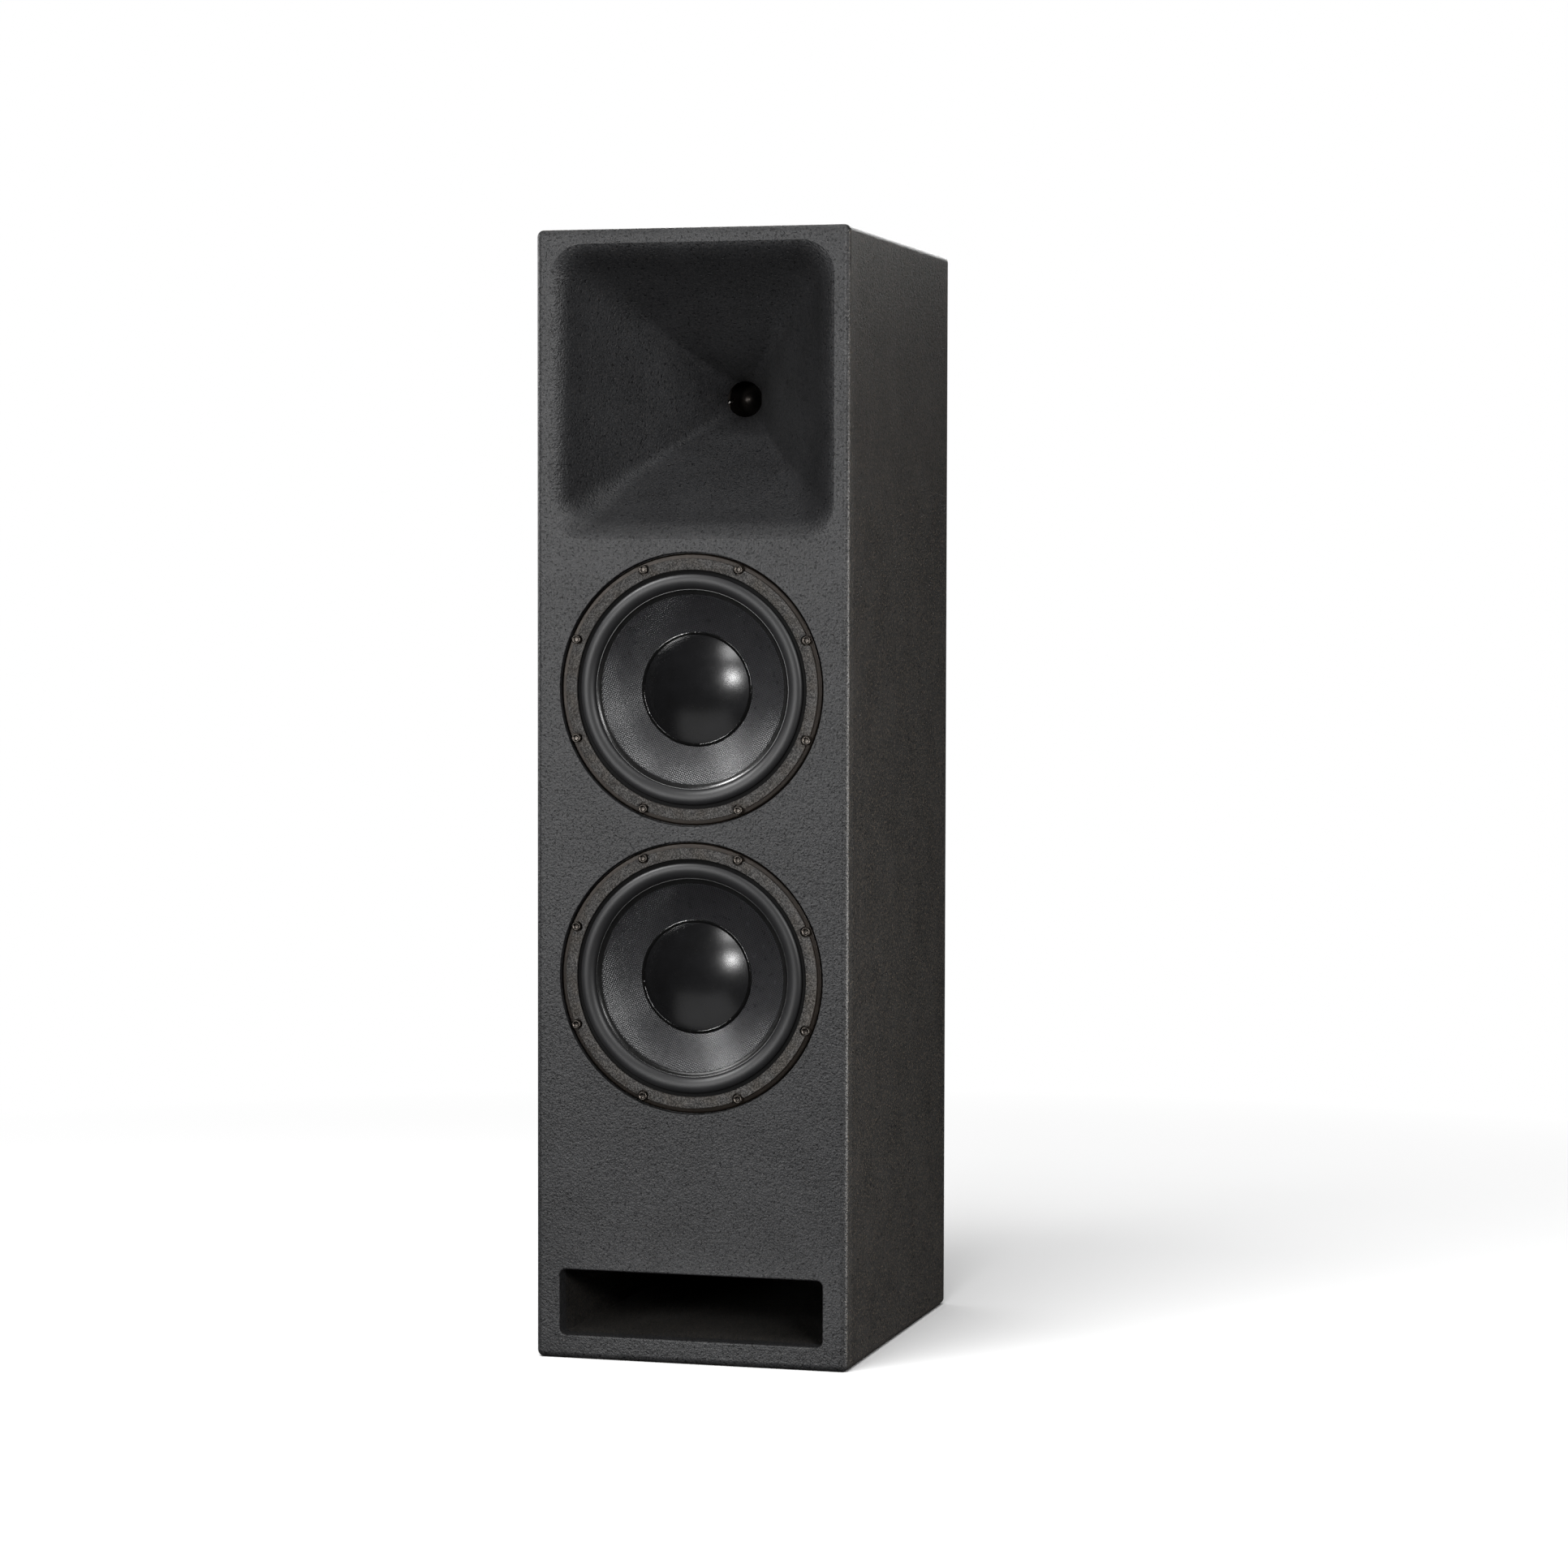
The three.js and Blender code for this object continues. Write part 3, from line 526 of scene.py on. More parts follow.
def cloth_material():
    s = Shader("spider_cloth", Specular_IOR_Level=0.3)
    x, _, z = s.axes()
    threads = s.math("MULTIPLY", *(s.math("SINE", s.math("MULTIPLY", axis, 7.0)) for axis in (x, z)))
    colour = s.ramp(s.noise(8, 3), (0.3, (0.3, 0.17, 0.05)), (0.7, (0.45, 0.28, 0.1)))
    return s.finish(colour, s.between(s.noise(2, 2), 0.65, 0.85), s.bump(threads, 0.12, 0.7))


def winding_material():
    s = Shader("copper_coil", Metallic=0.95)
    _, depth, _ = s.axes()
    turns = s.math("SINE", s.math("MULTIPLY", depth, 2 * math.pi / 0.8))
    colour = s.ramp(s.noise(5, 3), (0.3, (0.36, 0.14, 0.06)), (0.7, (0.55, 0.25, 0.12)))
    return s.finish(colour, s.between(s.noise(1.5, 3), 0.28, 0.42), s.bump(turns, 0.1, 0.8))


LOOK = {
    # The front board's and horn's coat, with painted shade inside the horn's mouth.
    "textured_paint": coat_material("textured_paint", COAT, painted_horn_shade=0.42),
    # The coat of the side, top, bottom and rear boards: its slightly warmer base and warmer flecks are a painted warm
    # cast.
    "painted_board": coat_material("painted_board", (0.033, 0.0322, 0.0313), painted_warm_cast=0.8),
    "plywood": plywood_material(),
    "frame_metal": metal_material("frame_metal", (0.015, 0.011, 0.008), 0.32, 0.6),
    "gasket_board": gasket_material(),
    "surround_rubber": rubber_material(),
    "surround_lip": lip_material(),
    "surround_groove": groove_shade_material(),
    "woven_cone": weave_material(),
    "cap_paper": cap_material(),
    "glue_bead": glue_material(),
    "copper_coil": winding_material(),
    "spider_cloth": cloth_material(),
    "plain_steel": metal_material("plain_steel", (0.5, 0.5, 0.51), 0.32, brushed=0.1),
    "ferrite": plastic_material("ferrite", (0.03, 0.03, 0.032), 0.65),
    "black_steel": metal_material("black_steel", (0.06, 0.053, 0.047), 0.24, 0.9),
    "plate_steel": coat_material("plate_steel", (0.018, 0.018, 0.019), grain=0.8, height=0.08, gloss=0.42),
    "cast_aluminium": metal_material("cast_aluminium", (0.5, 0.5, 0.51), 0.3, brushed=0.2),
    "plug_metal": metal_material("plug_metal", (0.09, 0.08, 0.073), 0.5),
    "titanium_foil": metal_material("titanium_foil", (0.4, 0.38, 0.36), 0.28),
    "black_plastic": plastic_material("black_plastic", (0.012, 0.012, 0.013)),
    "circuit_board": plastic_material("circuit_board", (0.02, 0.09, 0.03), 0.4),
    "lead_sheath": plastic_material("lead_sheath", (0.3, 0.015, 0.015), 0.5),
}

# ---- The horn's inside ----


def lip_row(share):
    """Half width, depth and corner radius of the lip, which is an arc."""
    start, end = (math.radians(a) for a in LIP_TURN)
    radius = (MOUTH - LIP_END) / (math.sin(end) - math.sin(start))
    turn = start + (end - start) * share
    sink = EASE * (1 - math.cos(start))
    reach = radius * (math.cos(start) - math.cos(turn)) * (BAFFLE - sink) / (MOUTH - LIP_END)
    half = MOUTH - radius * (math.sin(turn) - math.sin(start))
    return half, sink + reach, MOUTH_CORNER + (LIP_CORNER - MOUTH_CORNER) * share


def flare_row(share):
    half = THROAT + (LIP_END - THROAT) * (1 - share) ** FLARE_POWER
    corner = LIP_CORNER * (1 - share) ** 2 + THROAT * share**3
    return half, BAFFLE + (THROAT_DEPTH - BAFFLE) * share, min(corner, half)


def bend_row(share):
    """Between the lip and the flare, along a curve that leaves and joins them smoothly."""
    lip, flare = np.array(lip_row(LIP_SHARE)), np.array(flare_row(FLARE_SHARE))
    before = lip - lip_row(LIP_SHARE - 0.02)
    after = flare_row(FLARE_SHARE + 0.01) - flare
    length = np.linalg.norm((flare - lip)[:2]) / 3
    p = [lip, lip + before / np.linalg.norm(before[:2]) * length,
         flare - after / np.linalg.norm(after[:2]) * length, flare]
    t, u = share, 1 - share
    return tuple(p[0] * u**3 + 3 * p[1] * t * u**2 + 3 * p[2] * t**2 * u + p[3] * t**3)


def inside_rows():
    """The whole inner surface from the front face to the throat."""
    start = math.radians(LIP_TURN[0])
    rows = []
    for i in range(4):
        turn = start * i / 4
        half = MOUTH + EASE * (math.sin(start) - math.sin(turn))
        rows.append((half, EASE * (1 - math.cos(turn)), MOUTH_CORNER + EASE))
    rows += [lip_row(LIP_SHARE * i / 16) for i in range(16)]
    rows += [bend_row(i / 24) for i in range(24)]
    rows += [flare_row(FLARE_SHARE + (1 - FLARE_SHARE) * i / 44) for i in range(45)]
    return rows


def split_rows(depth):
    """The inner surface's rows before and after a depth, each with a row at it."""
    rows = inside_rows()
    first = next(i for i, row in enumerate(rows) if row[1] > depth)
    a, b = np.array(rows[first - 1]), np.array(rows[first])
    seam = tuple(a + (b - a) * (depth - a[1]) / (b[1] - a[1]))
    return [*rows[:first], seam], [seam, *rows[first:]]


def square_ring(row, centre):
    half, depth, corner = row
    return ring_at(rounded_rectangle(half, half, corner, arc=8, side=7), depth, centre)


def square_loft(name, rows, centre, material, caps=False, smooth=40):
    rings = [square_ring(row, centre) for row in rows]
    return lofted(name, rings, material, smooth, cyclic=not caps, caps=caps)


def horn():
    """The flare, its flange behind the front board and the disc that the driver is bolted to."""
    low, high = span("horn")
    half_flange = (high[0] - low[0]) / 2
    flange_back = low[1] + 12
    _, inside = split_rows(SEAM)
    throat_row = (THROAT, high[1], THROAT)
    disc = 60
    wall = 9
    outside = [(h + wall, d, c + wall) for h, d, c in (flare_row(i / 20) for i in range(2, 19))]
    rows = [
        *inside[:-1],
        throat_row,
        (disc - 1, high[1], disc - 1),
        (disc, high[1] - 1, disc),
        (disc, high[1] - 9, disc),
        *reversed([r for r in outside if flange_back < r[1] < high[1] - 9]),
        (half_flange - 14, flange_back, 14),
        (half_flange - 0.8, flange_back, 20),
        (half_flange, flange_back - 0.8, 20),
        (half_flange, SEAM, 20),
    ]
    obj = square_loft("horn_flare", rows, (0, HORN_Z), LOOK["textured_paint"], smooth=50)
    place(obj, ROOT, "textured_paint", "horn")


# ---- The cabinet's boards ----


def rounded_board(name, near, far, near_round, material):
    """A full-face board whose outer edges are rounded, between two depths."""
    half_x, half_z = WIDTH / 2, HEIGHT / 2
    rings = []
    steps = 8
    for i in range(steps + 1):
        angle = math.radians(90 * i / steps)
        inset = EDGE * (1 - math.sin(angle))
        sink = EDGE * (1 - math.cos(angle))
        depth = near + sink if near_round else far - sink
        points = rounded_rectangle(half_x - inset, half_z - inset, EDGE - inset)
        rings.append(ring_at(points, depth, (0, half_z)))
    rings.append(ring_at(rounded_rectangle(half_x, half_z, EDGE), far if near_round else near, (0, half_z)))
    return lofted(name, rings, material, 30, caps=True)


def mouth_cutter():
    """The mouth's lip; the cutter goes on past the board's back along the flare's line."""
    rows, _ = split_rows(SEAM)
    before, last = np.array(rows[-2]), np.array(rows[-1])
    beyond = last + (last - before) * 3 / (last[1] - before[1])
    rows = [(rows[0][0], -2, rows[0][2]), *rows, tuple(beyond)]
    return square_loft("mouth_cutter", rows, (0, HORN_Z), LOOK["textured_paint"], caps=True)


def easing(radius, size, steps=4):
    """(radius, depth) points that round a hole's edge over where it meets the front face."""
    turns = [math.radians(90 * i / steps) for i in range(steps + 1)]
    return [(radius + size * (1 - math.sin(t)), size * (1 - math.cos(t))) for t in turns]


def woofer_cutter(z):
    recess, floor, hole = 128.5, 8.3, 117
    edge = easing(recess, 0.7)
    profile = [(0, -2), (edge[0][0], -2), *edge, (recess, floor), (hole, floor)]
    profile += [(hole, BAFFLE + 3), (0, BAFFLE + 3)]
    return turned("woofer_cutter", profile, (0, z), LOOK["textured_paint"], segments=192)


PORT = {"half": 129, "low": 22.5, "high": 85, "corner": 6, "ease": 1.6}


def port_cutter():
    half_z = (PORT["high"] - PORT["low"]) / 2
    centre = (0, PORT["low"] + half_z)
    rings = []
    edge = easing(0, PORT["ease"])
    for grow, depth in [(edge[0][0], -2), *edge, (0, BAFFLE + 3)]:
        points = rounded_rectangle(PORT["half"] + grow, half_z + grow, PORT["corner"] + grow)
        rings.append(ring_at(points, depth, centre))
    return lofted("port_cutter", rings, LOOK["textured_paint"], caps=True)


def front_board():
    board = rounded_board("front_board", 0, SEAM, True, LOOK["textured_paint"])
    cutters = [mouth_cutter(), port_cutter(), *(woofer_cutter(z) for z in WOOFERS.values())]
    weighted(cut(board, *cutters))
    board.data.materials.append(LOOK["painted_board"])
    # The outer side faces take the side boards' coat, with its painted warm cast.
    for face in board.data.polygons:
        x, _, z = face.center
        outer = abs(x) > (RIGHT - 1) * MM or not MM < z < (HEIGHT - 1) * MM
        if outer and abs(face.normal.y) < 0.5:
            face.material_index = 1
    place(board, ROOT, "textured_paint", "baffle")


def box_mesh(name, low, high, material, bevel=0.0):
    def build(bm):
        bmesh.ops.create_cube(bm, size=1)
        for v in bm.verts:
            v.co = at(*(l + (h - l) * (c + 0.5) for l, h, c in zip(low, high, v.co)))

    obj = new_object(name, build, material, 30)
    if bevel:
        modifier = obj.modifiers.new("edges", "BEVEL")
        modifier.width = bevel * MM
        modifier.segments = 3
        modifier.limit_method = "ANGLE"
        weighted(obj)
    return obj


def side_board(name, side, node):
    """A side board, rounded along its outer top and bottom edges."""
    outline = [(INNER, 0), (INNER, HEIGHT)]
    outline += arc_points((RIGHT - EDGE, HEIGHT - EDGE), EDGE, 90, -90, 8)
    outline += arc_points((RIGHT - EDGE, EDGE), EDGE, 0, -90, 8)
    rings = [[at(side * x, depth, z) for x, z in outline] for depth in (SEAM, REAR_SEAM)]
    board = weighted(lofted(name, rings, LOOK["painted_board"], 30, caps=True))
    place(board, ROOT, "painted_board", node)


def back_board():
    board = rounded_board("rear_board", REAR_SEAM, DEPTH, False, LOOK["painted_board"])
    x, _, z = middle("input_plate")
    half_x, half_z = 65, 37.5
    low, high = (x - half_x, BACK - 3, z - half_z), (x + half_x, DEPTH + 3, z + half_z)
    hole = box_mesh("hole_cutter", low, high, LOOK["plywood"])
    weighted(cut(board, hole))
    place(board, ROOT, "painted_board", "back_panel")


def cabinet():
    front_board()
    side_board("left_side_board", -1, "left_side_panel")
    side_board("right_side_board", 1, "right_side_panel")
    for name, node in (("top_board", "top_panel"), ("bottom_board", "bottom_panel")):
        low, high = span(node)
        obj = box_mesh(name, (-INNER, SEAM, low[2]), (INNER, REAR_SEAM, high[2]), LOOK["painted_board"])
        place(obj, ROOT, "painted_board", node)
    back_board()
    _, high = span("port_shelf")
    low, high = (-INNER, SEAM, PORT["high"]), (INNER, high[1], high[2])
    shelf = box_mesh("port_roof", low, high, LOOK["painted_board"], 1.0)
    place(shelf, ROOT, "plywood", "port_shelf")
    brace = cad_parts["window_brace"]
    brace.data.materials.clear()
    brace.data.materials.append(LOOK["plywood"])


# ---- The woofers ----

RIM_FRONT = 3.2
SCREW_CIRCLE = 121.5
SCREW_TURN = 22.5
SCREW_COUNT = 8
CONE_EDGE = 89
CAP_EDGE = 51


def cone_depth(radius):
    share = (CONE_EDGE - radius) / (CONE_EDGE - CAP_EDGE)
    return 6.5 + 15.5 * share + 1.4 * math.sin(math.pi * min(max(share, 0), 1))


def basket(which, z):
    """The die-cast frame: a chamfered rim with screw holes, six ribbed legs and the magnet's seat."""
    rim = [(107, 4.7), (113.2, 4.7), (113.2, RIM_FRONT), (126.2, RIM_FRONT), (127.5, 4.4)]
    rim += [(127.5, 8), (115.5, 8), (115.5, 16), (109, 16), (107, 9)]
    seat = [(72, 46.5), (80, 46.5), (80, 62), (86, 62), (86, 68), (45, 68), (45, 62), (72, 62)]
    leg = [(114.5, 10), (114.5, 18), (85, 60), (85, 66), (78, 66), (78, 50), (109.5, 12)]
    body = turned(f"{which}_woofer_frame", eased(rim, 0.5), (0, z), LOOK["frame_metal"], 192, 35)
    parts = [turned("seat", eased(seat, 0.6), (0, z), LOOK["frame_metal"], 96, 35)]
    for i in range(6):
        angle = math.radians(30 + 60 * i)
        across = Vector((-math.sin(angle), math.cos(angle)))
        out = Vector((math.cos(angle), math.sin(angle)))
        rings = []
        for offset, shrink in ((-6.5, 1.2), (-5.3, 0), (5.3, 0), (6.5, 1.2)):
            centre = Vector((sum(p[0] for p in leg), sum(p[1] for p in leg))) / len(leg)
            ring = []
            for p in eased(leg, 2.5):
                q = Vector(p) + (centre - Vector(p)).normalized() * shrink
                spot = out * q.x + across * offset
                ring.append(at(spot.x, q.y, z + spot.y))
            rings.append(ring)
        parts.append(lofted("leg", rings, LOOK["frame_metal"], 35, caps=True))
    parts.append(box_mesh("tab", (-106, 62.5, z - 7), (-82, 66.5, z + 7), LOOK["frame_metal"]))
    for part in parts:
        modifier = body.modifiers.new("join", "BOOLEAN")
        modifier.operation = "UNION"
        modifier.solver = "EXACT"
        modifier.object = part
    holes = [
        turned("hole", [(0, -1), (2.9, -1), (2.9, 12), (0, 12)], (x, z + up), LOOK["frame_metal"], 24)
        for x, up in screw_places()
    ]
    cut(body, *holes)
    for part in parts:
        bpy.data.objects.remove(part)
    place(body, ROOT, "frame_metal", f"{which}_woofer_basket")


def screw_places():
    angles = [math.radians(SCREW_TURN + 360 * i / SCREW_COUNT) for i in range(SCREW_COUNT)]
    return [(SCREW_CIRCLE * math.cos(a), SCREW_CIRCLE * math.sin(a)) for a in angles]


def gasket_outline(outer):
    """The gasket's outer edge: arcs between eight U-shaped bites with rounded shoulders."""
    bite, shoulder = 4.7, 2.0
    bite_radius = outer - shoulder
    corner_offset = bite + shoulder
    local = arc_points((corner_offset, bite_radius), shoulder, 90, 90, 6)
    local += arc_points((0, bite_radius), bite, 0, -180, 24, ends=False)
    local += arc_points((-corner_offset, bite_radius), shoulder, 0, 90, 6)
    gap = 2 * math.pi / SCREW_COUNT - 2 * math.atan2(corner_offset, bite_radius + shoulder)
    outline = []
    for i in range(SCREW_COUNT):
        middle_angle = math.radians(SCREW_TURN + 360 * i / SCREW_COUNT)
        for across, out in local:
            radius = math.hypot(across, out)
            angle = middle_angle - math.atan2(across, out)
            outline.append((min(radius, outer), angle))
        start = outline[-1][1]
        for step in range(1, 16):
            outline.append((outer, start + gap * step / 16))
    return outline


def gasket(which, z):
    outer, front, back = round_size(f"{which}_woofer_gasket")
    inner = 112.3
    ease = 0.45
    edge = gasket_outline(outer)
    points = [Vector((r * math.cos(a), r * math.sin(a))) for r, a in edge]
    count = len(points)
    inward = []
    for i, p in enumerate(points):
        tangent = points[(i + 1) % count] - points[i - 1]
        inward.append(p + Vector((-tangent.y, tangent.x)).normalized() * ease)
    around = [Vector((math.cos(a), math.sin(a))) for _, a in edge]
    rows = [
        ([v * (inner + ease) for v in around], front),
        (inward, front),
        ([p * 0.35 + q * 0.65 for p, q in zip(points, inward)], front + ease * 0.12),
        ([p * 0.8 + q * 0.2 for p, q in zip(points, inward)], front + ease * 0.5),
        (points, front + ease),
        (points, back),
        ([v * inner for v in around], back),
        ([v * inner for v in around], front + ease),
        ([v * (inner + ease * 0.3) for v in around], front + ease * 0.3),
    ]
    rings = [[at(p.x, depth, z + p.y) for p in ring] for ring, depth in rows]
    obj = lofted(f"{which}_woofer_gasket_ring", rings, LOOK["gasket_board"], 60, cyclic=True)
    place(obj, ROOT, "gasket_board", f"{which}_woofer_gasket")


def follow_cone(obj):
    """Bakes the piece's placement into its mesh."""
    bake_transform(obj)


def surround(which, z):
    """A half-roll of rubber with a dull flat outer edge painted dark as shade and a glossy inner lip on the cone."""
    outer, _, _ = round_size(f"{which}_woofer_surround")
    inner_edge, roll_in, roll_out = CONE_EDGE, 94, 108.6
    steps = 26
    roll = []
    for i in range(steps + 1):
        share = i / steps
        base = 4.9 + (3.4 - 4.9) * share
        rise = 3.6 * math.sqrt(max(1 - (2 * share - 1) ** 2, 0)) ** 1.15
        roll.append((roll_in + (roll_out - roll_in) * share, base - rise))
    lip = [(inner_edge + 0.1, 6.3), (inner_edge + 0.6, 6.1), (inner_edge + 1.8, 5.85), (roll_in - 1.9, 5.45)]
    lip += [(roll_in - 0.9, 4.95), (roll_in - 0.35, 4.75)]
    front = [*lip, *roll, (roll_out + 0.8, 3.4), (outer, 3.4)]
    back = [(outer, 4.4), (roll_out, 4.4)]
    back += [(r, d + 0.9) for r, d in reversed(roll[2:-2])]
    back += [(roll_in, 6.4), (inner_edge + 0.1, 6.45)]
    obj = turned(f"{which}_woofer_surround_roll", front + back, (0, z), LOOK["surround_rubber"], 192, 50)
    obj.data.materials.append(LOOK["surround_lip"])
    obj.data.materials.append(LOOK["surround_groove"])
    # Faces near the cone take the glossy lip; the flat outer edge takes the groove's painted shade.
    for face in obj.data.polygons:
        centre = face.center
        radius = math.hypot(centre.x, centre.z - z * MM) / MM
        if radius < roll_in - 0.3:
            face.material_index = 1
        elif radius > roll_out - 0.5:
            face.material_index = 2
    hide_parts(f"{which}_woofer_surround")
    follow_cone(obj)


def spider(which, z):
    outer, _, _ = round_size(f"{which}_woofer_spider")
    inner = FORMER
    waves, height, thickness = 6, 1.5, 0.5
    steps = 96
    front = []
    for i in range(steps + 1):
        share = i / steps
        fade = min(share * 8, (1 - share) * 8, 1)
        wave = height * 0.5 * (1 - math.cos(2 * math.pi * waves * share)) * fade
        front.append((inner + (outer - inner) * share, 45.4 - wave))
    profile = front + [(r, d + thickness) for r, d in reversed(front)]
    obj = turned(f"{which}_woofer_spider_cloth", profile, (0, z), LOOK["spider_cloth"], 96, 60)
    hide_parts(f"{which}_woofer_spider")
    follow_cone(obj)


def cone_piece(which, z):
    """The woven cone, with its rolled edge under the surround and its neck on the former."""
    body = f"{which}_cone_group"
    radii = [CONE_EDGE - (CONE_EDGE - FORMER) * i / 40 for i in range(41)]
    front = [(93.5, cone_depth(CONE_EDGE) + 0.05), (CONE_EDGE + 0.6, cone_depth(CONE_EDGE) + 0.05)]
    front += [(r, cone_depth(r)) for r in radii]
    back = [(r, d + 1.1) for r, d in reversed(front)]
    obj = turned(f"{which}_woofer_woven_cone", front + back, (0, z), LOOK["woven_cone"], 192, 40)
    place(obj, body, "woven_cone", f"{which}_woofer_cone")


def cap_piece(which, z):
    """The dust cap: a shallow dome that steepens towards its rim, and the bead of glue round it."""
    body = f"{which}_cone_group"
    radius, front, back = round_size(f"{which}_woofer_dust_cap")
    rise = back - front
    sphere = (radius**2 + rise**2) / (2 * rise)

    def dome(lift):
        points = []
        for i in range(33):
            r = radius * i / 32
            height = math.sqrt(sphere**2 - r**2) - (sphere - rise)
            tuck = 0.9 * (r / radius) ** 14
            points.append((r, back - height - lift + tuck * lift / 0.9))
        return points

    outer_side = [(r, max(d, front)) for r, d in dome(0.0)]
    inner_side = [(min(r, radius - 0.9), d + 0.9) for r, d in dome(0.0)[:-1]]
    rim = [(radius, back), (radius - 0.2, back + 0.05)]
    obj = turned(f"{which}_woofer_dome", outer_side + rim + inner_side[::-1], (0, z), LOOK["cap_paper"], 192, 50)
    place(obj, body, "cap_paper", f"{which}_woofer_dust_cap")
    bead = []
    for i in range(17):
        t = math.radians(180 - 180 * i / 16)
        bead.append((radius + 1.5 + 1.7 * math.cos(t), cone_depth(radius + 1.5) - 1.5 * math.sin(t) ** 0.8))
    under = [(radius + 3.2, cone_depth(radius + 3.2) + 0.2), (radius - 0.2, cone_depth(radius - 0.2) + 0.2)]
    glue = turned(f"{which}_woofer_glue_bead", bead + under, (0, z), LOOK["glue_bead"], 192, 60)
    place(glue, body, "cap_paper")


def hexagon_ring(half_width, depth, centre, segments):
    """A hexagon's outline with as many points as a circle of that many segments."""
    ring = []
    for i in range(segments):
        angle = 2 * math.pi * i / segments
        reach = half_width / math.cos((angle % (math.pi / 3)) - math.pi / 6)
        ring.append(at(centre[0] + reach * math.cos(angle), depth, centre[1] + reach * math.sin(angle)))
    return ring


def screw(name, centre, node):
    """A socket-head cap screw with a domed edge, a hexagon socket and a plain shank."""
    (_, top, _), (_, tip, _) = span(node)
    head, height, shank, key = 4.25, 5.1, 2.5, 2.0
    segments = 48
    outer = [(2.75, 0.12), (3.0, 0.0), (3.4, 0.0), (3.85, 0.12), (4.15, 0.42), (4.25, 0.9)]
    profile = [(r, top + d) for r, d in outer]
    profile += [(head, top + height - 0.3), (head - 0.3, top + height), (shank, top + height), (shank, tip - 0.5)]
    profile += [(shank - 0.5, tip), (0, tip)]
    rings = [circle(0, top + 2.6, centre, segments)]
    rings += [hexagon_ring(key, top + d, centre, segments) for d in (2.4, 0.55)]
    rings += [circle(r, d, centre, segments) for r, d in profile]
    place(lofted(name, rings, LOOK["black_steel"], 35), ROOT, "black_steel", node)


def plain_ring(name, node, inner, look, ease=0.8):
    radius, front, back = round_size(node)
    x, _, z = middle(node)
    profile = [(inner, front), (radius, front), (radius, back), (inner, back)]
    obj = turned(name, eased(profile, ease), (x, z), LOOK[look], 128, 35)
    place(obj, ROOT, look, node)


def motor(which, z):
    """Top plate, magnet, yoke and voice coil."""
    prefix = f"{which}_woofer"
    plain_ring(f"{prefix}_front_plate", f"{prefix}_top_plate", 39.7, "plain_steel")
    plain_ring(f"{prefix}_ferrite_ring", f"{prefix}_magnet", 48, "ferrite", 1.6)
    radius, front, back = round_size(f"{prefix}_yoke")
    plate_front = span(f"{prefix}_magnet")[1][1] + 0.3
    profile = [(12, front), (37.1, front), (37.1, plate_front), (radius, plate_front), (radius, back), (12, back)]
    yoke = turned(f"{prefix}_pole_and_yoke", eased(profile, 1.2), (0, z), LOOK["plain_steel"], 128, 35)
    place(yoke, ROOT, "plain_steel", f"{prefix}_yoke")
    winding, front, back = round_size(f"{prefix}_voice_coil")
    profile = [(37.6, front), (38.1, front), (38.1, 66), (winding, 66.2), (winding, back), (37.6, back)]
    coil = turned(f"{prefix}_wound_coil", profile, (0, z), LOOK["copper_coil"], 96, 35)
    place(coil, f"{which}_cone_group", "copper_coil", f"{prefix}_voice_coil")


def woofer(which, z):
    basket(which, z)
    gasket(which, z)
    surround(which, z)
    cone_piece(which, z)
    cap_piece(which, z)
    spider(which, z)
    motor(which, z)
    for i, (x, up) in enumerate(screw_places(), 1):
        screw(f"{which}_woofer_cap_screw_{i}", (x, z + up), f"{which}_woofer_screw_{i}")


# ---- The high-frequency driver ----


